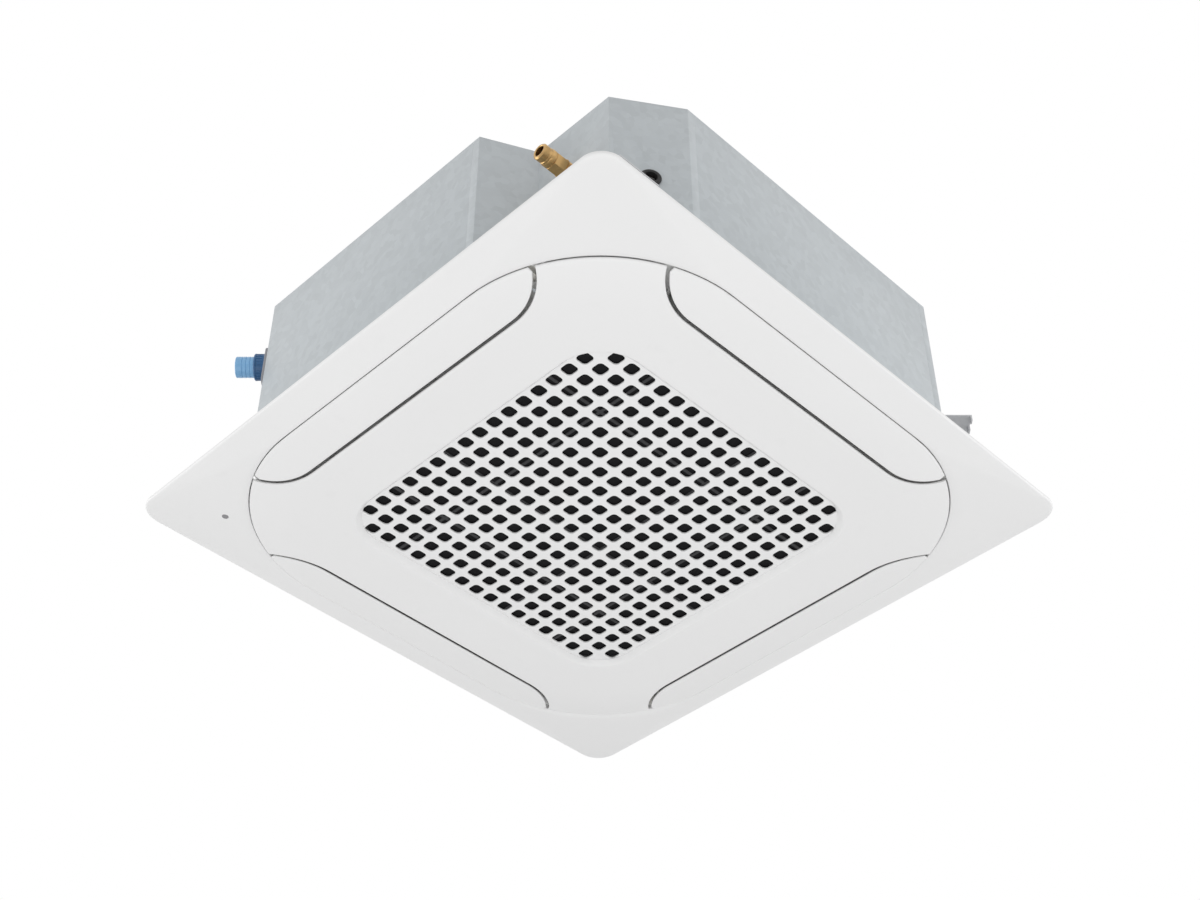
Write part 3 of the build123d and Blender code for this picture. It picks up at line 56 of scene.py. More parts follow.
# Panel frame, and the contour line between it and the front face
PANEL_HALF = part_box("panel_frame")[1].x
PANEL_CORNER = 34 * MM
RIM_HEIGHT = 6 * MM
RIM_LAND = 8 * MM
RIM_ROUND = 2.6 * MM
SKIN = 2.5 * MM
CONTOUR_HALF = 427.5 * MM
CONTOUR_CORNER = 241.5 * MM
CONTOUR_DROP = 20 * MM
CONTOUR_ROUND = 4.5 * MM
CONTOUR_GAP = 0.9 * MM
FRAME_CROWN = 0.6 * MM
FRAME_LIP = 0.5 * MM
BACK_PLATE_Z = -10 * MM

# Front face, which the grille and the vanes share
FACE_HALF = CONTOUR_HALF - CONTOUR_GAP
FACE_CORNER = CONTOUR_CORNER - CONTOUR_GAP
FACE_STRAIGHT = FACE_HALF - FACE_CORNER
FACE_DROP = -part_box("grille_panel")[0].z
SLOPE_WIDTH = 84 * MM
EDGE_ROUND = 2.2 * MM

# Vanes: a slot shape on each side, and the arms and pins that carry the vane
SIDES = {"east": 0, "north": 90, "west": 180, "south": 270}
VANE_CENTRE = 461 * MM
VANE_ARC = 97 * MM
VANE_GAP = 5 * MM
VANE_CONTOUR_GAP = 0.35 * MM
VANE_STRAIGHT = 206 * MM
VANE_HALF_LENGTH = 279 * MM
PIVOT_OUT = 394 * MM
PIVOT_Z = -13.5 * MM
ARM_ALONG = 212 * MM
ARM_THICK = 4 * MM
ARM_ROUND = 0.5 * MM
ARM_HEAD = 6 * MM
ARM_HEAD_SPAN = (-20, 200)
ARM_FOOT_IN = 8 * MM
ARM_FOOT_OUT = 10 * MM
ARM_SINK = 0.6 * MM
PIN_RADIUS = 3 * MM
PIN_ROUND = 0.6 * MM
PIN_TIP = 256 * MM

# Grille: a dish in the middle that holds the lattice, and ribs behind
DISH_HALF = 270 * MM
DISH_CORNER = 75 * MM
DISH_STEP = 7.5 * MM
DISH_ROUND = 2.5 * MM
DISH_LEAN = 45
DISH_FOOT = 0.6 * MM
LATTICE_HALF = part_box("grille_lattice")[1].x
LATTICE_CORNER = DISH_CORNER - (DISH_HALF - LATTICE_HALF)
LATTICE_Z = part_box("grille_lattice")[0].z
LATTICE_THICK = 2.95 * MM
LATTICE_PLAY = 0.05 * MM
HOLE_COUNT = 18
HOLE_PITCH = 29.1 * MM
HOLE_SIZE = 19.6 * MM
HOLE_CORNER = 6 * MM
HOLE_ROUND = 0.7 * MM
RIB_HALF = 288 * MM
RIB_TOP = -14 * MM

# Catch strikers on the grille's east side, and hooked hinge arms on its west side
CATCH_OUT = 320 * MM
CATCH_ALONG = 110 * MM
STRIKER_RADIUS = 5 * MM
STRIKER_ROUND = 0.5 * MM
STRIKER_TOP = -26.06 * MM
HINGE_OUT = 411 * MM
HINGE_Z = -11 * MM
HINGE_ALONG = 293 * MM
HINGE_EYE = 3 * MM
HINGE_PIN = 1.46 * MM
HINGE_ARM = 5 * MM
HOOK_RADIUS = 15.2 * MM
HOOK_THICK = 3 * MM
HOOK_ROUND = 0.4 * MM
HOOK_FOOT = -31
HOOK_TOP = 118
KNUCKLE_HALF = 2.6 * MM
KNUCKLE_ALONG = 6.5 * MM
KNUCKLE_DROP = 1.9 * MM
KNUCKLE_ROOM = 0.5 * MM

# Receiver window
WINDOW_X = -382 * MM
WINDOW_Y = 383 * MM
WINDOW_RADIUS = 5 * MM
WINDOW_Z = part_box("receiver_window")[0].z

# Fittings on the walls: where each one's axis meets its wall, and the way that the wall faces
DRAIN_PLACE = (-400 * MM, 300 * MM, 215 * MM)
DRAIN_FACING = (-1, 1)
GAS_PLACE = (-342 * MM, -287 * MM, 210 * MM)
LIQUID_PLACE = (-342 * MM, -325 * MM, 112 * MM)
UNION_FACING = (-1, 0)
GROMMET_PLACE = (-296 * MM, -389 * MM, 158 * MM)
GROMMET_FACING = (-62, -92)

# How finely the meshes are drawn
MERGE_DISTANCE = 0.001 * MM
SMOOTH_ANGLE = 34
ROUND_STEPS = 48
SMALL_ROUND_STEPS = 24
ROUNDING_ANGLES = (0, 22, 45, 67, 90)
FRAME_SHARES = (0.13, 0.25, 0.4, 0.55, 0.7, 0.85)
FACE_SHARES = (0.05, 0.12, 0.2, 0.28, 0.36, 0.45, 0.55, 0.66, 0.78, 0.9)
BACK_SHARES = (0.85, 0.7, 0.55, 0.4, 0.28, 0.18, 0.1, 0.04, 0)
ARC_STEPS = 24
BEND_STEPS = 14
STRAIGHT_STEPS = 10
VANE_TIP_STEPS = 14
VANE_MIDDLE_STEPS = 9
VANE_WIDTH_STEPS = 12

# Camera: found from the panel's four edges in the 1200 x 900 photograph
PHOTO_WIDTH = 1200
FOCAL_PIXELS = 1877.0
SENSOR_WIDTH = 36.0
CAMERA_PLACE = Vector((-1.4787, -1.4626, -1.7631))
CAMERA_TURN = math.radians(45.336)
CAMERA_RISE = math.radians(42.044)
CAMERA_ROLL = math.radians(-0.186)

# ---------------------------------------------------------------- making meshes


def mesh_object(name, points, faces):
    """Object from points and faces, smooth except at sharp edges."""
    mesh = bpy.data.meshes.new(name)
    mesh.from_pydata(points, [], faces)
    made = bmesh.new()
    made.from_mesh(mesh)
    bmesh.ops.recalc_face_normals(made, faces=made.faces)
    made.to_mesh(mesh)
    made.free()
    return soften(bpy.data.objects.new(name, mesh))


def soften(piece):
    """Smooth shading that stops at sharp edges."""
    if piece.name not in bpy.context.scene.collection.objects:
        bpy.context.scene.collection.objects.link(piece)
    piece.data.shade_smooth()
    piece.data.set_sharp_from_angle(angle=math.radians(SMOOTH_ANGLE))
    return piece


def loft(name, rings):
    """Closed skin through rings of equal length, the last one joined to the first."""
    count = len(rings[0])
    points = [point for ring in rings for point in ring]
    faces = []
    for i in range(len(rings)):
        here, after = i * count, (i + 1) % len(rings) * count
        for j in range(count):
            beside = (j + 1) % count
            faces.append((here + j, here + beside, after + beside, after + j))
    return mesh_object(name, points, faces)


def grid(rows):
    """Faces of a grid of points given row by row, and the way round its border."""
    wide, tall = len(rows[0]), len(rows)
    faces = [
        (j * wide + i, j * wide + i + 1, (j + 1) * wide + i + 1, (j + 1) * wide + i)
        for j in range(tall - 1)
        for i in range(wide - 1)
    ]
    border = [i for i in range(wide)]
    border += [j * wide + wide - 1 for j in range(1, tall)]
    border += [(tall - 1) * wide + i for i in range(wide - 2, -1, -1)]
    border += [j * wide for j in range(tall - 2, 0, -1)]
    return faces, border


def shell(name, front, back):
    """Closed sheet between two grids with the same layout."""
    faces, border = grid(front)
    count = len(front) * len(front[0])
    points = [p for row in front for p in row] + [p for row in back for p in row]
    all_faces = faces + [tuple(count + i for i in reversed(face)) for face in faces]
    for i, here in enumerate(border):
        there = border[(i + 1) % len(border)]
        all_faces.append((here, there, count + there, count + here))
    return mesh_object(name, points, all_faces)


def plate(name, outlines, thickness, edge, place=Matrix.Identity(4)):
    """Flat plate with rounded edges from closed outlines, the later ones being its holes.

    It stands on its plane's z = 0, and place takes it from there to the frame."""
    curve = bpy.data.curves.new(name, "CURVE")
    curve.dimensions = "2D"
    curve.fill_mode = "BOTH"
    curve.extrude = thickness / 2 - edge
    curve.bevel_depth = edge
    curve.bevel_resolution = 3
    curve.offset = -edge
    for outline in outlines:
        spline = curve.splines.new("POLY")
        spline.points.add(len(outline) - 1)
        for spot, (x, y) in zip(spline.points, outline):
            spot.co = (x, y, 0, 1)
        spline.use_cyclic_u = True
    holder = bpy.data.objects.new(name + "_outline", curve)
    mesh = bpy.data.meshes.new_from_object(holder)
    bpy.data.objects.remove(holder)
    mesh.transform(place @ Matrix.Translation((0, 0, thickness / 2)))
    made = bmesh.new()
    made.from_mesh(mesh)
    bmesh.ops.remove_doubles(made, verts=made.verts, dist=MERGE_DISTANCE)
    bmesh.ops.recalc_face_normals(made, faces=made.faces)
    made.to_mesh(mesh)
    made.free()
    return soften(bpy.data.objects.new(name, mesh))


def lathe(name, profile, place, steps=ROUND_STEPS):
    """Turned piece from (radius, height) points: closed by ends at radius 0, or else a ring."""
    points, rows = [], []
    for radius, height in profile:
        start = len(points)
        if radius == 0:
            points.append(place @ Vector((0, 0, height)))
            rows.append([start] * steps)
            continue
        for i in range(steps):
            a = math.tau * i / steps
            points.append(place @ Vector((radius * math.cos(a), radius * math.sin(a), height)))
        rows.append([start + i for i in range(steps)])
    last = len(rows) if profile[0][0] else len(rows) - 1
    faces = []
    for i in range(last):
        here, after = rows[i], rows[(i + 1) % len(rows)]
        for j in range(steps):
            beside = (j + 1) % steps
            faces.append(tuple(dict.fromkeys((here[j], here[beside], after[beside], after[j]))))
    return mesh_object(name, points, faces)


def joined(name, pieces):
    """Several meshes as one object."""
    made = bmesh.new()
    for piece in pieces:
        made.from_mesh(piece.data)
    mesh = bpy.data.meshes.new(name)
    made.to_mesh(mesh)
    made.free()
    for piece in pieces:
        bpy.data.objects.remove(piece)
    return soften(bpy.data.objects.new(name, mesh))


def carve(piece, cutters):
    """Takes the cutters' shapes out of a piece."""
    for cutter in cutters:
        cut = piece.modifiers.new("cut", "BOOLEAN")
        cut.operation = "DIFFERENCE"
        cut.solver = "EXACT"
        cut.object = cutter
    bpy.context.view_layer.update()
    shaped = piece.evaluated_get(bpy.context.evaluated_depsgraph_get())
    mesh = bpy.data.meshes.new_from_object(shaped)
    piece.modifiers.clear()
    piece.data = mesh
    for cutter in cutters:
        bpy.data.objects.remove(cutter)
    return soften(piece)


def block(name, low, high):
    """Plain box, to carve with or to join to a piece."""
    xs, ys, zs = zip(low, high)
    corners = [Vector((x, y, z)) for z in zs for y in ys for x in xs]
    faces = [(0, 2, 3, 1), (4, 5, 7, 6), (0, 1, 5, 4), (2, 6, 7, 3), (0, 4, 6, 2), (1, 3, 7, 5)]
    return mesh_object(name, corners, faces)


def turned(x, y, angle):
    """A point turned about the axis by degrees."""
    c, s = math.cos(math.radians(angle)), math.sin(math.radians(angle))
    return x * c - y * s, x * s + y * c


def side_matrix(angle, along):
    """Frame across one side of the panel: x outwards, y up, z against the way along the side."""
    out = Vector((*turned(1, 0, angle), 0))
    way = Vector((*turned(0, 1, angle), 0))
    return Matrix((
        (out.x, 0, -way.x, way.x * along),
        (out.y, 0, -way.y, way.y * along),
        (0, 1, 0, 0),
        (0, 0, 0, 1),
    ))


def wall_matrix(x, y, z, facing):
    """Frame on an upright face: z is the way that it faces, y is up."""
    out = Vector((*facing, 0)).normalized()
    across = Vector((-out.y, out.x, 0))
    return Matrix((
        (across.x, 0, out.x, x),
        (across.y, 0, out.y, y),
        (0, 1, 0, z),
        (0, 0, 0, 1),
    ))


def fillet_drop(distance, radius):
    """How far a rounded edge falls back at a distance in from the edge."""
    if distance >= radius:
        return 0.0
    return radius - math.sqrt(radius ** 2 - (radius - distance) ** 2)


def steps_in(radius):
    """Distances from an edge at which its rounding is drawn."""
    return [radius * (1 - math.cos(math.radians(a))) for a in ROUNDING_ANGLES]


# ---------------------------------------------------------------- the front's surface


def face_inset(x, y):
    """How far a point lies inside the face's contour."""
    over_x, over_y = abs(x) - FACE_STRAIGHT, abs(y) - FACE_STRAIGHT
    reach = math.hypot(over_x, over_y) if min(over_x, over_y) > 0 else max(over_x, over_y)
    return FACE_CORNER - reach


def face_z(x, y):
    """Height of the front face: level in the middle, curving up towards its contour."""
    share = min(1.0, max(0.0, face_inset(x, y) / SLOPE_WIDTH))
    return -CONTOUR_DROP - (FACE_DROP - CONTOUR_DROP) * share * (2 - share)


def contour_x(along, grow=0.0):
    """Distance out to the face's contour at a distance along a side."""
    over = max(0.0, abs(along) - FACE_STRAIGHT)
    return FACE_STRAIGHT + math.sqrt((FACE_CORNER + grow) ** 2 - over ** 2)


def slot_x(along, radius):
    """Distance out to the inner edge of a vane's place at a distance along a side."""
    over = max(0.0, abs(along) - VANE_STRAIGHT)
    return VANE_CENTRE - math.sqrt(radius ** 2 - over ** 2)


GRILLE_SLOT = VANE_ARC + VANE_GAP / 2
VANE_EDGE = VANE_ARC - VANE_GAP / 2


def slot_end():
    """Where the edge of a vane's place meets the contour, along a side, found by halving."""
    low, high = VANE_STRAIGHT, VANE_STRAIGHT + GRILLE_SLOT * 0.99
    for _ in range(40):
        middle = (low + high) / 2
        if slot_x(middle, GRILLE_SLOT) < contour_x(middle):
            low = middle
        else:
            high = middle
    return low


SLOT_END = slot_end()


def side_places():
    """Shares along a side, from one end of a vane's place to the other, closer where it bends."""
    bend = [
        VANE_STRAIGHT + (SLOT_END - VANE_STRAIGHT) * math.sin(math.pi / 2 * i / BEND_STEPS)
        for i in range(BEND_STEPS + 1)
    ]
    straight = [VANE_STRAIGHT * (2 * i / STRAIGHT_STEPS - 1) for i in range(1, STRAIGHT_STEPS)]
    return [-b / SLOT_END for b in reversed(bend)] + [s / SLOT_END for s in straight] + [
        b / SLOT_END for b in bend
    ]


SIDE_PLACES = side_places()


def square_ring(half, corner, z):
    """Rounded square as a ring of points laid out as the face's outline is."""
    ring = []
    straight = half - corner
    for angle in SIDES.values():
        for share in SIDE_PLACES:
            ring.append(Vector((*turned(half, share * straight, angle), z)))
        for i in range(1, ARC_STEPS):
            a = math.pi / 2 * i / ARC_STEPS
            x, y = straight + corner * math.cos(a), straight + corner * math.sin(a)
            ring.append(Vector((*turned(x, y, angle), z)))
    return ring


def grille_outline():
    """The grille's own outline: along each vane's place and round each corner of the contour."""
    ring = []
    start = math.atan2(SLOT_END - FACE_STRAIGHT, contour_x(SLOT_END) - FACE_STRAIGHT)
    for angle in SIDES.values():
        for share in SIDE_PLACES:
            along = share * SLOT_END
            ring.append(Vector((*turned(slot_x(along, GRILLE_SLOT), along, angle), 0)))
        for i in range(1, ARC_STEPS):
            a = start + (math.pi / 2 - 2 * start) * i / ARC_STEPS
            x = FACE_STRAIGHT + FACE_CORNER * math.cos(a)
            y = FACE_STRAIGHT + FACE_CORNER * math.sin(a)
            ring.append(Vector((*turned(x, y, angle), 0)))
    return ring


def rounded_square(half, corner, x=0.0, y=0.0, steps=6):
    """Outline of a rounded square about a point."""
    outline = []
    straight = half - corner
    for quarter, (side_x, side_y) in enumerate(((1, 1), (-1, 1), (-1, -1), (1, -1))):
        middle_x, middle_y = x + side_x * straight, y + side_y * straight
        for i in range(steps + 1):
            a = math.pi / 2 * (quarter + i / steps)
            outline.append((middle_x + corner * math.cos(a), middle_y + corner * math.sin(a)))
    return outline


def circle(radius, x=0.0, y=0.0, steps=32):
    """Outline of a circle about a point."""
    return [
        (x + radius * math.cos(math.tau * i / steps), y + radius * math.sin(math.tau * i / steps))
        for i in range(steps)
    ]


def arc(radius, start, end, steps=8):
    """Points round a part of a circle, by degrees."""
    turns = [math.radians(start + (end - start) * i / steps) for i in range(steps + 1)]
    return [(radius * math.cos(a), radius * math.sin(a)) for a in turns]


# ---------------------------------------------------------------- finishes

BLACK = (0, 0, 0, 1)
FULL_WHITE = (1, 1, 1, 1)


class Wire:
    """A shader socket that takes part in Python sums."""

    def __init__(self, maker, socket):
        self.maker = maker
        self.socket = socket

    def sum(self, operation, first, second):
        return self.maker.node("ShaderNodeMath", {"operation": operation}, {0: first, 1: second})

    def __add__(self, other):
        return self.sum("ADD", self, other)

    def __radd__(self, other):
        return self.sum("ADD", other, self)

    def __sub__(self, other):
        return self.sum("SUBTRACT", self, other)

    def __rsub__(self, other):
        return self.sum("SUBTRACT", other, self)

    def __mul__(self, other):
        return self.sum("MULTIPLY", self, other)

    def __rmul__(self, other):
        return self.sum("MULTIPLY", other, self)

    def larger(self, other):
        return self.sum("MAXIMUM", self, other)


class NodeMaker:
    """Makes and links the nodes of one tree."""

    def __init__(self, tree):
        self.tree = tree
        tree.nodes.clear()

    def feed(self, socket, value):
        if isinstance(value, Wire):
            self.tree.links.new(value.socket, socket)
        else:
            socket.default_value = value

    def node(self, kind, settings=None, sockets=None, output=0):
        """A node of any kind, with its settings first and then what its sockets take."""
        made = self.tree.nodes.new(kind)
        for key, value in (settings or {}).items():
            if key == "stops":
                for element, (place, colour) in zip(made.color_ramp.elements, value):
                    element.position = place
                    element.color = colour
            else:
                setattr(made, key, value)
        for key, value in (sockets or {}).items():
            self.feed(made.inputs[key], value)
        return Wire(self, made.outputs[output]) if made.outputs else None


class Finish(NodeMaker):
    """One material, made node by node round a single shader."""

    def __init__(self, name):
        self.material = bpy.data.materials.new(name)
        self.material.use_nodes = True
        super().__init__(self.material.node_tree)
        surface = self.node("ShaderNodeBsdfPrincipled")
        self.shader = surface.socket.node
        self.node("ShaderNodeOutputMaterial", {}, {"Surface": surface})

    def place(self, stretch=(1, 1, 1)):
        """Coordinates in metres on the piece, stretched along each axis."""
        spot = self.node("ShaderNodeTexCoord", output="Object")
        return self.node("ShaderNodeVectorMath", {"operation": "MULTIPLY"}, {0: spot, 1: stretch})

    def noise(self, scale, detail, stretch=(1, 1, 1)):
        sockets = {"Vector": self.place(stretch), "Scale": scale, "Detail": detail}
        return self.node("ShaderNodeTexNoise", {}, sockets)

    def cells(self, scale, output):
        """Distance to the nearest cell's middle, or a colour for each cell."""
        sockets = {"Vector": self.place(), "Scale": scale}
        return self.node("ShaderNodeTexVoronoi", {}, sockets, output=output)

    def ridges(self, direction, scale, distortion=0.0):
        """Even ridges across a direction."""
        settings = {"wave_type": "BANDS", "bands_direction": direction}
        sockets = {"Vector": self.place(), "Scale": scale, "Distortion": distortion}
        return self.node("ShaderNodeTexWave", settings, sockets)

    def step(self, value, low, high):
        """0 below low, 1 above high, and even between."""
        settings = {"stops": [(low, BLACK), (high, FULL_WHITE)]}
        return self.node("ShaderNodeValToRGB", settings, {"Fac": value})

    def mix(self, factor, first, second):
        """Colour between two colours."""
        sockets = {0: factor, 6: first, 7: second}
        return self.node("ShaderNodeMix", {"data_type": "RGBA"}, sockets, output=2)

    def bump(self, height, strength, distance):
        sockets = {"Height": height, "Strength": strength, "Distance": distance}
        return self.node("ShaderNodeBump", {}, sockets)

    def coat(self, **values):
        """What the shader itself takes, by its sockets' names with spaces as underscores."""
        for key, value in values.items():
            self.feed(self.shader.inputs[key.replace("_", " ")], value)
        return self.material


def tone(colour, share=1.0):
    """Colour with its strength multiplied by a share."""
    return (*[min(1.0, c * share) for c in colour], 1)


def moulded(name, colour, rough=0.4, grain=0.06, drift=0.03, grain_scale=900):
    """Moulded plastic: a slow drift of colour, uneven gloss and a fine skin."""
    f = Finish(name)
    slow = f.noise(scale=5, detail=3)
    drifted = f.mix(slow, tone(colour, 1 - drift), tone(colour, 1 + drift))
    dusty = f.step(f.noise(scale=38, detail=5), low=0.62, high=0.8)
    gloss = f.noise(scale=24, detail=4) - 0.5
    skin = f.noise(scale=grain_scale, detail=3)
    return f.coat(
        Base_Color=f.mix(dusty * 0.25, drifted, tone(colour, 0.93)),
        Roughness=rough + 0.16 * gloss + 0.08 * dusty,
        Normal=f.bump(skin, strength=grain, distance=0.4 * MM),
    )


def galvanised(name, colour, rough=0.42):
    """Zinc-coated sheet: overlapping crystals, rolling streaks and faint handling marks."""
    f = Finish(name)
    crystal_scale = 95
    crystal = f.cells(crystal_scale, output="Color")
    streak = f.noise(scale=14, detail=3, stretch=(1, 1, 9))
    smear = f.step(f.noise(scale=6, detail=5), low=0.5, high=0.75)
    base = f.mix(crystal, tone(colour, 0.93), tone(colour, 1.07))
    streaked = f.mix(streak * 0.4, base, tone(colour, 0.9))
    gloss = f.noise(crystal_scale, detail=2) - 0.5
    uneven = f.noise(scale=420, detail=2) * 0.5 + f.noise(scale=9, detail=2)
    return f.coat(
        Base_Color=f.mix(smear * 0.22, streaked, tone(colour, 1.12)),
        Metallic=0.15,
        Roughness=rough + 0.12 * gloss + 0.1 * smear,
        Normal=f.bump(uneven, strength=0.12, distance=0.9 * MM),
    )


def bare_metal(name, colour, rough=0.3, lines=(1, 1, 40), tarnish=0.25, dull=0.55):
    """Turned or drawn metal: fine tool lines and patches of tarnish."""
    f = Finish(name)
    patch = f.step(f.noise(scale=70, detail=5), low=0.45, high=0.75)
    line = f.noise(scale=300, detail=2, stretch=lines)
    return f.coat(
        Base_Color=f.mix(patch * tarnish, tone(colour), tone(colour, dull)),
        Metallic=1.0,
        Roughness=rough + 0.2 * patch + 0.1 * (line - 0.5),
        Normal=f.bump(line, strength=0.1, distance=0.2 * MM),
    )


def foam(name, colour):
    """Bead foam: packed cells with soft joints between them."""
    f = Finish(name)
    joint = f.step(f.cells(scale=260, output="Distance"), low=0.35, high=0.75)
    return f.coat(
        Base_Color=f.mix(joint * 0.5, tone(colour), tone(colour, 0.85)),
        Roughness=0.85,
        Normal=f.bump(1 - joint, strength=0.3, distance=0.6 * MM),
    )


def soft_rubber(name, colour):
    """Rubber or soft foam strip: matt, with a fine pitted skin."""
    f = Finish(name)
    pit = f.noise(scale=700, detail=4)
    blotch = f.noise(scale=45, detail=4)
    return f.coat(
        Base_Color=f.mix(blotch, tone(colour, 0.8), tone(colour, 1.3)),
        Roughness=0.7 + 0.2 * (pit - 0.5),
        Normal=f.bump(pit, strength=0.25, distance=0.4 * MM),
    )


def finned(name, colour):
    """The face of a pack of thin fins: fine even ridges, with painted shade darkening the gaps
    between the fins.
    """
    f = Finish(name)
    fin_ridge_and_gap_shade = f.ridges("DIAGONAL", scale=300, distortion=0.4)
    gloss = f.noise(scale=60, detail=3) - 0.5
    return f.coat(
        # Painted shade: the colour is darker in the troughs of the ridges, standing in for the shade
        # in the gaps between the fins.
        Base_Color=f.mix(fin_ridge_and_gap_shade, tone(colour, 0.45), tone(colour)),
        Roughness=0.4 + 0.1 * gloss,
        Normal=f.bump(fin_ridge_and_gap_shade, strength=0.5, distance=0.6 * MM),
    )


def woven(name, colour):
    """Woven net: threads over and under each other, with painted shade between the threads and a
    painted highlight where they cross.
    """
    f = Finish(name)
    across, along = (f.ridges(direction, scale=420) for direction in ("X", "Y"))
    weave_height_and_painted_light = across * 0.5 + along * 0.5
    return f.coat(
        # Painted shade and painted highlight: the colour is darker between the threads and lighter
        # where they cross.
        Base_Color=f.mix(weave_height_and_painted_light, tone(colour, 0.35), tone(colour, 1.6)),
        Roughness=0.75,
        Specular_IOR_Level=0.1,
        Normal=f.bump(weave_height_and_painted_light, strength=0.5, distance=0.5 * MM),
    )


def circuit_lacquer(name, colour, track_colour):
    """Lacquered board with tracks under the lacquer."""
    f = Finish(name)
    track = f.node(
        "ShaderNodeTexBrick",
        {"offset": 0.5},
        {"Vector": f.place(), "Scale": 130, "Color1": BLACK, "Color2": BLACK, "Mortar": FULL_WHITE},
    )
    gloss = f.noise(scale=40, detail=3) - 0.5
    return f.coat(
        Base_Color=f.mix(track * 0.6, tone(colour), tone(track_colour)),
        Roughness=0.3 + 0.1 * gloss,
        Normal=f.bump(track, strength=0.2, distance=0.3 * MM),
    )


WHITE = (0.82, 0.82, 0.82)
FINISHES = {
    "galvanised": galvanised("galvanised_sheet", (0.505, 0.54, 0.56)),
    "bracket_steel": galvanised("bracket_sheet", (0.58, 0.585, 0.60), rough=0.38),
    "screw_zinc": bare_metal("zinc_screws", (0.62, 0.62, 0.58), rough=0.28),
    "panel_white": moulded("panel_white_plastic", WHITE, rough=0.36, grain=0.05, drift=0.012),
    "vane_white": moulded("vane_white_plastic", WHITE, rough=0.36, grain=0.05, drift=0.012),
    "grille_white": moulded("grille_white_plastic", WHITE, rough=0.38, grain=0.05, drift=0.012),
    "inner_white": moulded("inner_white_plastic", (0.78, 0.78, 0.77), rough=0.5, grain=0.1),
    "foam_white": foam("white_bead_foam", (0.78, 0.78, 0.76)),
    "foam_black": soft_rubber("dark_foam_strip", (0.10, 0.10, 0.10)),
    "net_black": woven("black_filter_net", (0.012, 0.012, 0.013)),
    "filter_grey": moulded("dark_filter_frame", (0.02, 0.02, 0.022), rough=0.5, grain=0.1),
    "fin_aluminium": finned("aluminium_fins", (0.68, 0.70, 0.73)),
    "copper": bare_metal("drawn_copper", (0.72, 0.36, 0.22), rough=0.28, lines=(1, 1, 4)),
    "brass": bare_metal(
        "machined_brass", (0.62, 0.40, 0.17), lines=(1, 1, 1), tarnish=0.45, dull=0.45
    ),
    "motor_steel": moulded(
        "motor_paint", (0.06, 0.065, 0.07), rough=0.35, grain=0.1, drift=0.05, grain_scale=500
    ),
    "shaft_steel": bare_metal("ground_steel", (0.52, 0.52, 0.53), rough=0.2, lines=(1, 1, 60)),
    "rubber_black": soft_rubber("black_rubber", (0.018, 0.018, 0.018)),
    "fan_white": moulded("fan_plastic", (0.56, 0.57, 0.58), rough=0.45, grain=0.1),
    "board_green": circuit_lacquer("board_lacquer", (0.01, 0.16, 0.06), (0.05, 0.42, 0.17)),
    "terminal_cream": moulded("terminal_plastic", (0.55, 0.50, 0.36), rough=0.45, grain=0.1),
    "motor_cream": moulded("small_motor_plastic", (0.55, 0.54, 0.50), rough=0.45, grain=0.1),
    "spout_blue": moulded("light_blue_spout", (0.22, 0.46, 0.74), rough=0.3, grain=0.05),
    "collar_blue": moulded("dark_blue_collar", (0.03, 0.12, 0.28), rough=0.35, grain=0.05),
    "flange_grey": moulded("grey_flange_plastic", (0.30, 0.30, 0.32), rough=0.5, grain=0.1),
    "window_grey": moulded("smoked_window", (0.26, 0.26, 0.27), rough=0.2, grain=0.02),
    "hose_grey": soft_rubber("grey_hose", (0.32, 0.34, 0.34)),
}


MODELLED = set()


def finish_piece(piece, slot, body, node):
    """A new piece gets its finish, what it moves with and the node that it stands for."""
    piece.data.materials.clear()
    piece.data.materials.append(FINISHES[slot])
    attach(piece, body)
    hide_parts(node)
    MODELLED.add(node)


# ---------------------------------------------------------------- panel frame


def frame_ring(share, lift=0.0):
    """Ring of the panel's outer slope, from its contour at 0 to its rim at 1."""
    half = CONTOUR_HALF + (PANEL_HALF - CONTOUR_HALF) * share
    corner = CONTOUR_CORNER + (PANEL_CORNER - CONTOUR_CORNER) * share
    slope = -CONTOUR_DROP + (CONTOUR_DROP - RIM_HEIGHT) * share
    return square_ring(half, corner, slope - FRAME_CROWN * math.sin(math.pi * share) + lift)


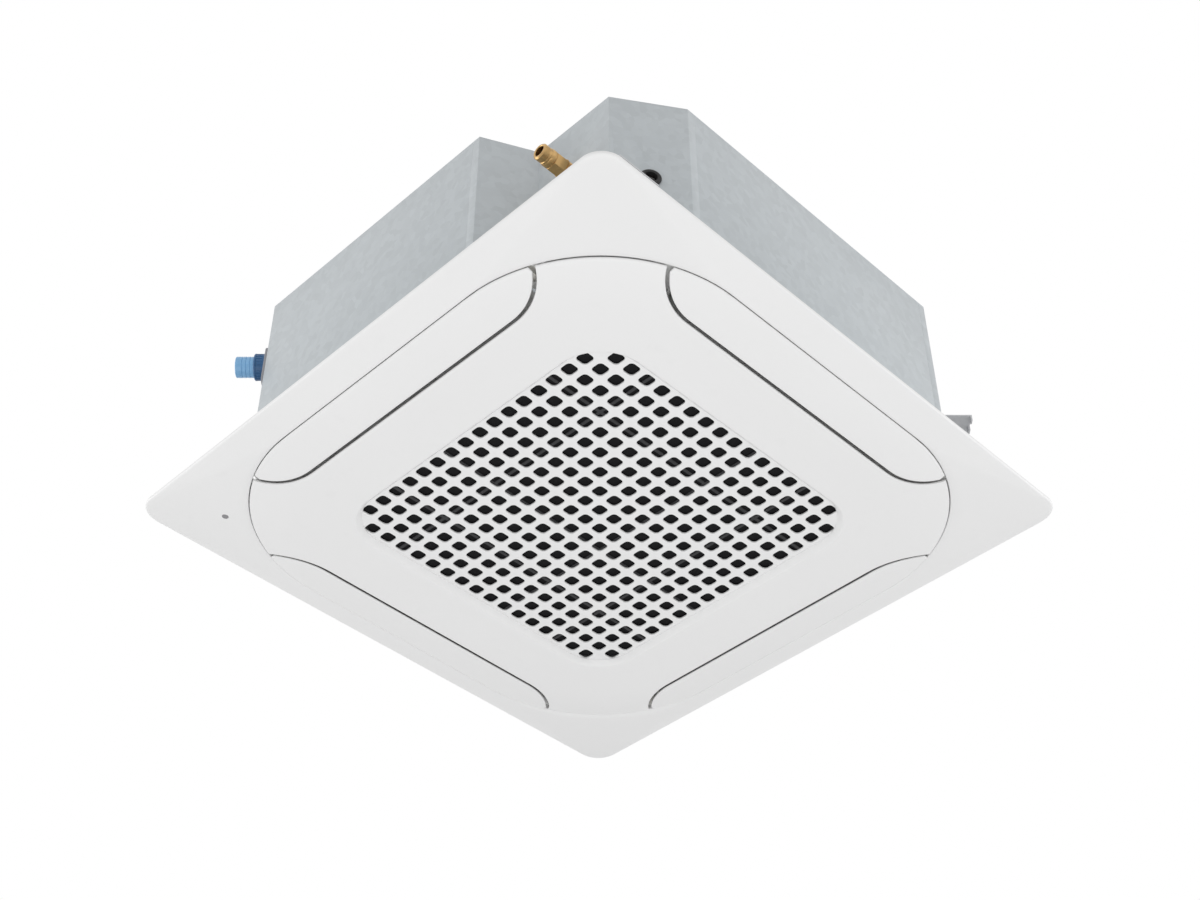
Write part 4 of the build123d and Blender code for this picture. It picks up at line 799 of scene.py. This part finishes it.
def panel_frame():
    """The panel's outer part: rounded contour edge, slope, rounded rim and hollow back."""
    rings = []
    slope_width = PANEL_HALF - CONTOUR_HALF
    for distance in steps_in(CONTOUR_ROUND):
        rings.append(frame_ring(distance / slope_width, fillet_drop(distance, CONTOUR_ROUND)))
    for share in FRAME_SHARES:
        rings.append(frame_ring(share))
    for distance in reversed(steps_in(RIM_ROUND)):
        rings.append(frame_ring(1 - distance / slope_width, fillet_drop(distance, RIM_ROUND)))
    lip = FRAME_LIP
    for distance, z in (
        (0, -lip),
        (lip, 0),
        (RIM_LAND - lip, 0),
        (RIM_LAND, -lip),
        (RIM_LAND, -RIM_HEIGHT + SKIN),
    ):
        rings.append(square_ring(PANEL_HALF - distance, PANEL_CORNER - distance, z))
    for distance, z in (
        (SKIN, -CONTOUR_DROP + SKIN),
        (SKIN, BACK_PLATE_Z - lip),
        (SKIN - lip, BACK_PLATE_Z),
        (lip, BACK_PLATE_Z),
        (0, BACK_PLATE_Z - lip),
    ):
        rings.append(square_ring(CONTOUR_HALF + distance, CONTOUR_CORNER + distance, z))
    piece = loft("panel_frame_shell", rings)
    cutters = []
    for end in (-1, 1):
        for half, along, drop in (
            (KNUCKLE_HALF, KNUCKLE_ALONG, KNUCKLE_DROP),
            (HINGE_EYE, HINGE_ARM / 2, HINGE_EYE),
        ):
            low = (
                -HINGE_OUT - half - KNUCKLE_ROOM,
                end * HINGE_ALONG - along - KNUCKLE_ROOM,
                HINGE_Z - drop - KNUCKLE_ROOM,
            )
            high = (
                -HINGE_OUT + half + KNUCKLE_ROOM,
                end * HINGE_ALONG + along + KNUCKLE_ROOM,
                BACK_PLATE_Z + KNUCKLE_ROOM,
            )
            cutters.append(block("relief", low, high))
    bore = [(0, 0), (WINDOW_RADIUS, 0), (WINDOW_RADIUS, CONTOUR_DROP), (0, CONTOUR_DROP)]
    place = Matrix.Translation((WINDOW_X, WINDOW_Y, -CONTOUR_DROP))
    cutters.append(lathe("window_bore", bore, place, SMALL_ROUND_STEPS))
    return carve(piece, cutters)


finish_piece(panel_frame(), "panel_white", "body", "panel_frame")

# ---------------------------------------------------------------- vanes


def arm_outline():
    """Side view of a vane's arm: a tapered web that ends in a round head at the pivot."""
    feet = (PIVOT_OUT - ARM_FOOT_IN, PIVOT_OUT + ARM_FOOT_OUT)
    web = [(x, face_z(x, ARM_ALONG) + ARM_SINK) for x in feet]
    return web + [(PIVOT_OUT + x, PIVOT_Z + z) for x, z in arc(ARM_HEAD, *ARM_HEAD_SPAN, 11)]


def vane_alongs():
    """Places along a vane at which its skin is drawn, closer at its rounded tips."""
    alongs = [VANE_HALF_LENGTH - distance for distance in steps_in(EDGE_ROUND)]
    tip = VANE_HALF_LENGTH - EDGE_ROUND - VANE_STRAIGHT
    for i in range(1, VANE_TIP_STEPS + 1):
        alongs.append(VANE_STRAIGHT + tip * (1 - i / VANE_TIP_STEPS))
    for i in range(1, VANE_MIDDLE_STEPS):
        alongs.append(VANE_STRAIGHT * (1 - i / VANE_MIDDLE_STEPS))
    return sorted({round(a, 6) for a in alongs} | {round(-a, 6) for a in alongs})


def vane(side, angle):
    """A vane: curved skin with rounded edges, two arms and their pins."""
    edge = steps_in(EDGE_ROUND)
    front, back = [], []
    for along in vane_alongs():
        inner = slot_x(along, VANE_EDGE)
        width = contour_x(along, CONTOUR_GAP - VANE_CONTOUR_GAP) - inner
        step = (width - 2 * EDGE_ROUND) / VANE_WIDTH_STEPS
        across = edge + [EDGE_ROUND + step * i for i in range(1, VANE_WIDTH_STEPS)]
        across += [width - distance for distance in reversed(edge)]
        end_drop = fillet_drop(VANE_HALF_LENGTH - abs(along), EDGE_ROUND)
        front_row, back_row = [], []
        for distance in across:
            x, y = turned(inner + distance, along, angle)
            z = face_z(x, y)
            drop = max(end_drop, fillet_drop(min(distance, width - distance), EDGE_ROUND))
            front_row.append(Vector((x, y, z + drop)))
            back_row.append(Vector((x, y, z + SKIN)))
        front.append(front_row)
        back.append(back_row)
    pieces = [shell("vane_skin", front, back)]
    for end in (-1, 1):
        place = side_matrix(angle, end * ARM_ALONG + ARM_THICK / 2)
        pieces.append(plate("vane_arm", [arm_outline()], ARM_THICK, ARM_ROUND, place))
        pin_length = PIN_TIP - ARM_ALONG
        place = side_matrix(angle, end * ARM_ALONG) @ Matrix.Translation((PIVOT_OUT, PIVOT_Z, 0))
        profile = [
            (0, 0),
            (PIN_RADIUS, 0),
            (PIN_RADIUS, -end * (pin_length - PIN_ROUND)),
            (PIN_RADIUS - PIN_ROUND, -end * pin_length),
            (0, -end * pin_length),
        ]
        pieces.append(lathe("vane_pin", profile, place, SMALL_ROUND_STEPS))
    return joined(f"vane_{side}_blade", pieces)


for side, angle in SIDES.items():
    finish_piece(vane(side, angle), "vane_white", f"vane_{side}", f"vane_{side}")

# ---------------------------------------------------------------- grille


def between(outer, inner, share):
    """Ring part of the way from one ring to another, on the face's surface."""
    ring = []
    for a, b in zip(outer, inner):
        spot = a.lerp(b, share)
        ring.append(Vector((spot.x, spot.y, face_z(spot.x, spot.y))))
    return ring


def stepped_in(outer, inner, distance, drop):
    """Ring a set distance in from the outer one, raised by drop."""
    ring = []
    for a, b in zip(outer, inner):
        spot = a + (b - a).normalized() * distance
        ring.append(Vector((spot.x, spot.y, face_z(spot.x, spot.y) + drop)))
    return ring


def lifted(ring, height):
    """Ring raised by a height."""
    return [p + Vector((0, 0, height)) for p in ring]


def hinge_arm(end):
    """Hooked arm from the grille's edge, over the frame's wall and down to its hinge eye."""
    outer = HOOK_RADIUS + HOOK_THICK
    lean = {r: math.degrees(math.asin(HOOK_THICK / 2 / r)) for r in (outer, HOOK_RADIUS, HINGE_EYE)}
    eye_start, eye_end = HOOK_TOP + lean[HINGE_EYE], HOOK_TOP - lean[HINGE_EYE] + 360
    hook = arc(outer, HOOK_FOOT, HOOK_TOP + lean[outer], steps=20)
    hook += arc(HINGE_EYE, eye_start, eye_end, steps=14)
    hook += arc(HOOK_RADIUS, HOOK_TOP - lean[HOOK_RADIUS], HOOK_FOOT, steps=18)
    outline = [(x - HINGE_OUT, z + HINGE_Z) for x, z in hook]
    hole = circle(HINGE_PIN, -HINGE_OUT, HINGE_Z, steps=20)
    place = Matrix((
        (1, 0, 0, 0),
        (0, 0, -1, end * HINGE_ALONG + HINGE_ARM / 2),
        (0, 1, 0, 0),
        (0, 0, 0, 1),
    ))
    return plate("hinge_arm", [outline, hole], HINGE_ARM, HOOK_ROUND, place)


def dish_ring(half, z=None):
    """Ring that runs alongside the dish's edge, at a height or else on the back of the skin."""
    ring = square_ring(half, DISH_CORNER + half - DISH_HALF, z or 0)
    return ring if z else [Vector((p.x, p.y, face_z(p.x, p.y) + SKIN)) for p in ring]


def dish_edge():
    """Rings of the rounded edge where the face turns into the dish, from the face inwards."""
    tangent = DISH_ROUND * math.tan(math.radians(DISH_LEAN / 2))
    rings = []
    for share in (0, 1 / 3, 2 / 3, 1):
        a = math.radians(DISH_LEAN * share)
        half = DISH_HALF + tangent - DISH_ROUND * math.sin(a)
        rings.append(dish_ring(half, -FACE_DROP + DISH_ROUND * (1 - math.cos(a))))
    return rings


def striker(y):
    """Round post behind the grille's skin that a catch presses on."""
    start = -FACE_DROP + SKIN / 2
    profile = [
        (0, start),
        (STRIKER_RADIUS, start),
        (STRIKER_RADIUS, STRIKER_TOP - STRIKER_ROUND),
        (STRIKER_RADIUS - STRIKER_ROUND, STRIKER_TOP),
        (0, STRIKER_TOP),
    ]
    return lathe("striker", profile, Matrix.Translation((CATCH_OUT, y, 0)), SMALL_ROUND_STEPS)


def grille_panel():
    """The grille's frame: curved front, round-edged dish, ribs and catch strikers behind."""
    outline = grille_outline()
    edge = dish_edge()
    flat_inner = [Vector((p.x, p.y, 0)) for p in edge[0]]
    front = []
    for distance in steps_in(EDGE_ROUND):
        drop = fillet_drop(distance, EDGE_ROUND)
        front.append(stepped_in(outline, flat_inner, distance, drop))
    front += [between(outline, flat_inner, share) for share in FACE_SHARES]
    front += edge
    opening = DISH_HALF - DISH_STEP
    front.append(dish_ring(opening + DISH_FOOT, -FACE_DROP + DISH_STEP - DISH_FOOT))
    front.append(dish_ring(opening, -FACE_DROP + DISH_STEP + DISH_FOOT))
    front.append(dish_ring(opening, LATTICE_Z - LATTICE_PLAY))
    behind = [
        dish_ring(LATTICE_HALF + LATTICE_PLAY, LATTICE_Z - LATTICE_PLAY),
        dish_ring(LATTICE_HALF + LATTICE_PLAY, RIB_TOP),
        dish_ring(DISH_HALF + SKIN, RIB_TOP),
        dish_ring(DISH_HALF + SKIN),
        dish_ring(RIB_HALF - SKIN),
        dish_ring(RIB_HALF - SKIN, RIB_TOP),
        dish_ring(RIB_HALF, RIB_TOP),
        dish_ring(RIB_HALF),
    ]
    rib_foot = [Vector((p.x, p.y, 0)) for p in behind[-1]]
    back = [lifted(between(outline, rib_foot, share), SKIN) for share in BACK_SHARES]
    pieces = [loft("grille_skin", front + behind + back)]
    pieces += [striker(y) for y in (-CATCH_ALONG, CATCH_ALONG)]
    pieces += [hinge_arm(end) for end in (-1, 1)]
    return joined("grille_front", pieces)


finish_piece(grille_panel(), "grille_white", "grille", "grille_panel")


def grille_lattice():
    """The lattice of round-cornered square holes, without the four corner ones."""
    outlines = [rounded_square(LATTICE_HALF, LATTICE_CORNER, steps=24)]
    last = HOLE_COUNT - 1
    for i in range(HOLE_COUNT):
        for j in range(HOLE_COUNT):
            if {i, j} <= {0, last}:
                continue
            x = (i - last / 2) * HOLE_PITCH
            y = (j - last / 2) * HOLE_PITCH
            outlines.append(rounded_square(HOLE_SIZE / 2, HOLE_CORNER, x, y))
    place = Matrix.Translation((0, 0, LATTICE_Z))
    return plate("grille_lattice_plate", outlines, LATTICE_THICK, HOLE_ROUND, place)


finish_piece(grille_lattice(), "grille_white", "grille", "grille_lattice")

# ---------------------------------------------------------------- fittings

# The sections of the fittings are in millimetres. Heights along an axis start at the wall's face.

UNION_START = -12
UNION_COLLAR_LENGTH = 12
UNION_NECK_END = 17
UNION_NUT_START = 18.5
UNION_NUT_LENGTH = 20
UNION_TAIL_START = 47
UNION_GROOVE = 50.5
UNION_END = 61
UNION_FLAT_ROUND = 0.9
# Turned rings at the nut's two ends: how far inside the nut's corners, and height
UNION_NUT_LIP = ((2.4, UNION_NECK_END), (0.9, 17.6), (0.9, 18.8))
UNION_SHOULDER = ((2.6, 38), (1.6, 39), (1.6, 45), (2.4, 46.6))

SPOUT_RADIUS = 16
SPOUT_NECK = 15
SPOUT_BORE = 13
SPOUT_START = -22
SPOUT_END = 49
SPOUT_FLOOR = -19
SPOUT_LIP = 0.8
BARB_START = 25
BARB_PITCH = 6
BARB_COUNT = 3
BARB_DEPTH = 0.7
BARB_SLOPE = 2
BARB_RISE = 0.4

COLLAR_RADIUS = 20.5
COLLAR_BORE = SPOUT_NECK + 0.02
COLLAR_START = 5
COLLAR_END = 21
FINGER_RIB_COUNT = 24
FINGER_RIB = ((19.3, -0.7, 8), (20.2, 0.7, 18))
DRAIN_STEPS = 56

FLANGE_HALF_WIDE = 23
FLANGE_HALF_TALL = 35
FLANGE_CORNER = 8
FLANGE_DROP = 12
FLANGE_THICK = 5
FLANGE_ROUND = 1.2

GROMMET_BORE = 9
GROMMET_SECTION = (
    (11.4, -5.2),
    (12, -4.6),
    (12, 0),
    (14.6, 0),
    (15, 0.7),
    (14.7, 2.2),
    (13.6, 3.5),
    (12.2, 4),
    (10.6, 4),
    (9.4, 3.3),
)

DRAIN_WALL = wall_matrix(*DRAIN_PLACE, DRAIN_FACING)


def receiver_window():
    """Small smoked window with a bevelled rim and a slightly domed face."""
    rim, bevel, dome, crown = 0.8 * MM, 0.5 * MM, 0.3 * MM, 0.05 * MM
    profile = [
        (0, BACK_PLATE_Z),
        (WINDOW_RADIUS, BACK_PLATE_Z),
        (WINDOW_RADIUS, WINDOW_Z + rim),
        (WINDOW_RADIUS - bevel, WINDOW_Z + dome),
        (WINDOW_RADIUS / 2, WINDOW_Z + crown),
        (0, WINDOW_Z),
    ]
    place = Matrix.Translation((WINDOW_X, WINDOW_Y, 0))
    return lathe("receiver_window_lens", profile, place, steps=32)


finish_piece(receiver_window(), "window_grey", "body", "receiver_window")


def ring_profile(bore, steps):
    """Closed section of a turned ring, in metres, from (radius, height) steps on its outside."""
    outside = [(radius * MM, height * MM) for radius, height in steps]
    return outside + [(bore * MM, outside[-1][1]), (bore * MM, outside[0][1])]


def union_body(neck, bore, tail):
    """Outside of a pipe union's body, with a groove round its tail."""
    chamfer, tail_chamfer, mouth = 0.5, 2, 0.8
    groove_deep, groove_floor, groove_mouth = 0.7, 0.9, 1.5
    return [
        (neck - chamfer, UNION_START),
        (neck, UNION_START + chamfer),
        (neck, UNION_NECK_END),
        (tail, UNION_TAIL_START),
        (tail, UNION_GROOVE - groove_mouth),
        (tail - groove_deep, UNION_GROOVE - groove_floor),
        (tail - groove_deep, UNION_GROOVE + groove_floor),
        (tail, UNION_GROOVE + groove_mouth),
        (tail, UNION_END - tail_chamfer),
        (tail - tail_chamfer, UNION_END),
        (bore + mouth, UNION_END),
        (bore, UNION_END - mouth),
    ]


def pipe_union(name, spot, neck, bore, collar, nut, tail):
    """Brass union: hexagon against the wall, neck, flare nut with flats, and a turned tail."""
    place = wall_matrix(*spot, UNION_FACING)
    flats_in, rings_in = 0.2, 0.3
    pieces = [lathe(name + "_body", ring_profile(bore, union_body(neck, bore, tail)), place)]
    for radius, start, length in (
        (collar, 0, UNION_COLLAR_LENGTH),
        (nut, UNION_NUT_START, UNION_NUT_LENGTH),
    ):
        outlines = [arc(radius * MM, 0, 300, steps=5), circle((neck - flats_in) * MM)]
        seat = place @ Matrix.Translation((0, 0, start * MM))
        pieces.append(plate(name + "_flats", outlines, length * MM, UNION_FLAT_ROUND * MM, seat))
    shoulder = [(nut - inside, height) for inside, height in UNION_SHOULDER]
    shoulder.append((neck, UNION_TAIL_START))
    lip = [(nut - inside, height) for inside, height in UNION_NUT_LIP]
    for steps in (shoulder, lip):
        pieces.append(lathe(name + "_turned", ring_profile(neck - rings_in, steps), place))
    return joined(name + "_brass", pieces)


UNIONS = {
    "gas_union": {
        "spot": GAS_PLACE, "neck": 11.1, "bore": 8.0, "collar": 15.5, "nut": 15.0, "tail": 12.5
    },
    "liquid_union": {
        "spot": LIQUID_PLACE, "neck": 7.9, "bore": 4.8, "collar": 11.0, "nut": 10.5, "tail": 8.5
    },
}
for node, sizes in UNIONS.items():
    finish_piece(pipe_union(node, **sizes), "brass", "body", node)


def drain_spout():
    """Light blue spout with barb rings, a lip and its deep bore."""
    shoulder = 0.6
    steps = [
        (0, SPOUT_START),
        (SPOUT_NECK, SPOUT_START),
        (SPOUT_NECK, COLLAR_END),
        (SPOUT_RADIUS - shoulder, COLLAR_END),
        (SPOUT_RADIUS, COLLAR_END + shoulder),
    ]
    for i in range(BARB_COUNT):
        crest = BARB_START + i * BARB_PITCH
        foot = crest + BARB_SLOPE
        steps += [(SPOUT_RADIUS, crest), (SPOUT_RADIUS - BARB_DEPTH, foot)]
        steps.append((SPOUT_RADIUS, foot + BARB_RISE))
    steps += [
        (SPOUT_RADIUS, SPOUT_END - SPOUT_LIP),
        (SPOUT_RADIUS - BARB_DEPTH, SPOUT_END),
        (SPOUT_BORE + SPOUT_LIP, SPOUT_END),
        (SPOUT_BORE, SPOUT_END - SPOUT_LIP),
        (SPOUT_BORE, SPOUT_FLOOR),
        (0, SPOUT_FLOOR),
    ]
    profile = [(radius * MM, height * MM) for radius, height in steps]
    return lathe("drain_spout_barbed", profile, DRAIN_WALL, DRAIN_STEPS)


def drain_collar():
    """Dark blue collar with a rolled lip at each end and finger ribs between."""
    eased_lip, waist = COLLAR_RADIUS - 0.8, COLLAR_RADIUS - 0.9
    inner_round, outer_round, lip_end, waist_end = 0.6, 0.8, 2.6, 3.4
    steps = [
        (eased_lip, COLLAR_START),
        (COLLAR_RADIUS, COLLAR_START + inner_round),
        (COLLAR_RADIUS, COLLAR_START + lip_end),
        (waist, COLLAR_START + waist_end),
        (waist, COLLAR_END - waist_end),
        (COLLAR_RADIUS, COLLAR_END - lip_end),
        (COLLAR_RADIUS, COLLAR_END - outer_round),
        (eased_lip, COLLAR_END),
    ]
    profile = ring_profile(COLLAR_BORE, steps)
    pieces = [lathe("collar_ring", profile, DRAIN_WALL, DRAIN_STEPS)]
    low, high = ([size * MM for size in corner] for corner in FINGER_RIB)
    for i in range(FINGER_RIB_COUNT):
        rib = block("rib", low, high)
        spin = Matrix.Rotation(math.tau * i / FINGER_RIB_COUNT, 4, "Z")
        rib.data.transform(DRAIN_WALL @ spin)
        pieces.append(rib)
    return joined("drain_collar_ribbed", pieces)


def drain_flange():
    """Grey flange plate behind the collar, with rounded edges."""
    across, up = FLANGE_HALF_WIDE - FLANGE_CORNER, FLANGE_HALF_TALL - FLANGE_CORNER
    outline = []
    for x, y, start in ((1, 1, 0), (-1, 1, 90), (-1, -1, 180), (1, -1, 270)):
        for u, v in arc(FLANGE_CORNER, start, start + 90):
            outline.append(((x * across + u) * MM, (y * up - FLANGE_DROP + v) * MM))
    outlines = [outline, circle(COLLAR_BORE * MM)]
    return plate("drain_flange_plate", outlines, FLANGE_THICK * MM, FLANGE_ROUND * MM, DRAIN_WALL)


finish_piece(drain_spout(), "spout_blue", "body", "drain_spout")
finish_piece(drain_collar(), "collar_blue", "body", "drain_collar")
finish_piece(drain_flange(), "flange_grey", "body", "drain_flange")


def cable_grommet():
    """Rubber grommet with a rounded lip and a groove where it grips the sheet."""
    profile = ring_profile(GROMMET_BORE, GROMMET_SECTION)
    return lathe("cable_grommet_ring", profile, wall_matrix(*GROMMET_PLACE, GROMMET_FACING))


finish_piece(cable_grommet(), "rubber_black", "body", "cable_grommet")

# ---------------------------------------------------------------- everything else

# How far sharp edges are rounded, in millimetres, by finish
EASING = {
    "galvanised": 0.3,
    "bracket_steel": 0.5,
    "foam_white": 0.9,
    "inner_white": 0.6,
    "net_black": 0.1,
}
USUAL_EASING = 0.4
FLAT_ANGLE = math.radians(0.5)
SHARP_ANGLE = math.radians(30)


def eased(node, width):
    """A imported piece's own shape with its sharp edges rounded, as folded and moulded edges are."""
    made = bmesh.new()
    made.from_mesh(frame["nodes"][node].data)
    bmesh.ops.remove_doubles(made, verts=made.verts, dist=MERGE_DISTANCE)
    bmesh.ops.dissolve_limit(made, angle_limit=FLAT_ANGLE, verts=made.verts, edges=made.edges)
    sharp = [edge for edge in made.edges if edge.calc_face_angle(0) > SHARP_ANGLE]
    bmesh.ops.bevel(
        made,
        geom=sharp,
        offset=width,
        offset_type="OFFSET",
        segments=2,
        profile=0.5,
        affect="EDGES",
        clamp_overlap=True,
    )
    mesh = bpy.data.meshes.new(node + "_eased")
    made.to_mesh(mesh)
    made.free()
    return soften(bpy.data.objects.new(node + "_eased", mesh))


BODIES = frame["record"]["behaviour"]["bodies"]
BODY_OF = {node: body for body, nodes in BODIES.items() for node in nodes}
for part in frame["record"]["subparts"]:
    node, slot = part["node"], part["material_slot"]
    frame["nodes"][node].data.materials.clear()
    frame["nodes"][node].data.materials.append(FINISHES[slot])
    if node not in MODELLED:
        finish_piece(eased(node, EASING.get(slot, USUAL_EASING) * MM), slot, BODY_OF[node], node)

# ---------------------------------------------------------------- camera, light and floor

# Name, place, size and watts
LAMPS = (
    ("front_lamp", (-0.7, -0.7, -2.3), 3.0, 28.0),
    ("left_lamp", (-2.2, 2.5, 0.2), 2.0, 27.0),
    ("right_lamp", (2.5, -2.2, 0.2), 2.0, 27.0),
)
CLIP_NEAR = 0.05
CLIP_FAR = 60
FLOOR_Z = -2.7
FLOOR_HALF = 40.0
AMBIENT = 0.77


def camera():
    """Camera below the near corner, looking up at the panel."""
    lens = bpy.data.cameras.new("camera")
    lens.sensor_width = SENSOR_WIDTH
    lens.lens = FOCAL_PIXELS / PHOTO_WIDTH * SENSOR_WIDTH
    lens.clip_start = CLIP_NEAR
    lens.clip_end = CLIP_FAR
    ahead = Vector((
        math.sin(CAMERA_TURN) * math.cos(CAMERA_RISE),
        math.cos(CAMERA_TURN) * math.cos(CAMERA_RISE),
        math.sin(CAMERA_RISE),
    ))
    right = Vector((math.cos(CAMERA_TURN), -math.sin(CAMERA_TURN), 0))
    up = right.cross(ahead)
    right_rolled = right * math.cos(CAMERA_ROLL) + up * math.sin(CAMERA_ROLL)
    up_rolled = up * math.cos(CAMERA_ROLL) - right * math.sin(CAMERA_ROLL)
    turn = Matrix((right_rolled, up_rolled, -ahead)).transposed()
    holder = bpy.data.objects.new("camera", lens)
    holder.matrix_world = Matrix.Translation(CAMERA_PLACE) @ turn.to_4x4()
    bpy.context.scene.collection.objects.link(holder)
    bpy.context.scene.camera = holder


def softbox(name, place, size, power):
    """Square area lamp aimed at the middle of the panel."""
    lamp = bpy.data.lights.new(name, "AREA")
    lamp.size = size
    lamp.energy = power
    holder = bpy.data.objects.new(name, lamp)
    holder.location = place
    holder.rotation_mode = "QUATERNION"
    holder.rotation_quaternion = Vector(place).to_track_quat("Z", "Y")
    holder.visible_camera = False
    bpy.context.scene.collection.objects.link(holder)


def surroundings():
    """Pale floor below, and a white surround that only the camera and gloss see in full."""
    corners = ((-1, -1), (1, -1), (1, 1), (-1, 1))
    points = [Vector((x * FLOOR_HALF, y * FLOOR_HALF, FLOOR_Z)) for x, y in corners]
    floor = mesh_object("floor", points, [(0, 1, 2, 3)])
    finish = moulded("pale_floor", (0.80, 0.80, 0.80), rough=0.8, grain=0.05, drift=0.01)
    floor.data.materials.append(finish)
    world = bpy.data.worlds.new("surround")
    bpy.context.scene.world = world
    world.use_nodes = True
    sky = NodeMaker(world.node_tree)
    seen = sky.node("ShaderNodeLightPath", output="Is Camera Ray")
    for ray in ("Is Glossy Ray", "Is Transmission Ray"):
        seen = seen.larger(sky.node("ShaderNodeLightPath", output=ray))
    strength = AMBIENT + (1 - AMBIENT) * seen
    surface = sky.node("ShaderNodeBackground", {}, {"Color": FULL_WHITE, "Strength": strength})
    sky.node("ShaderNodeOutputWorld", {}, {"Surface": surface})


camera()
surroundings()
for lamp in LAMPS:
    softbox(*lamp)
bpy.context.scene.view_settings.view_transform = "Standard"
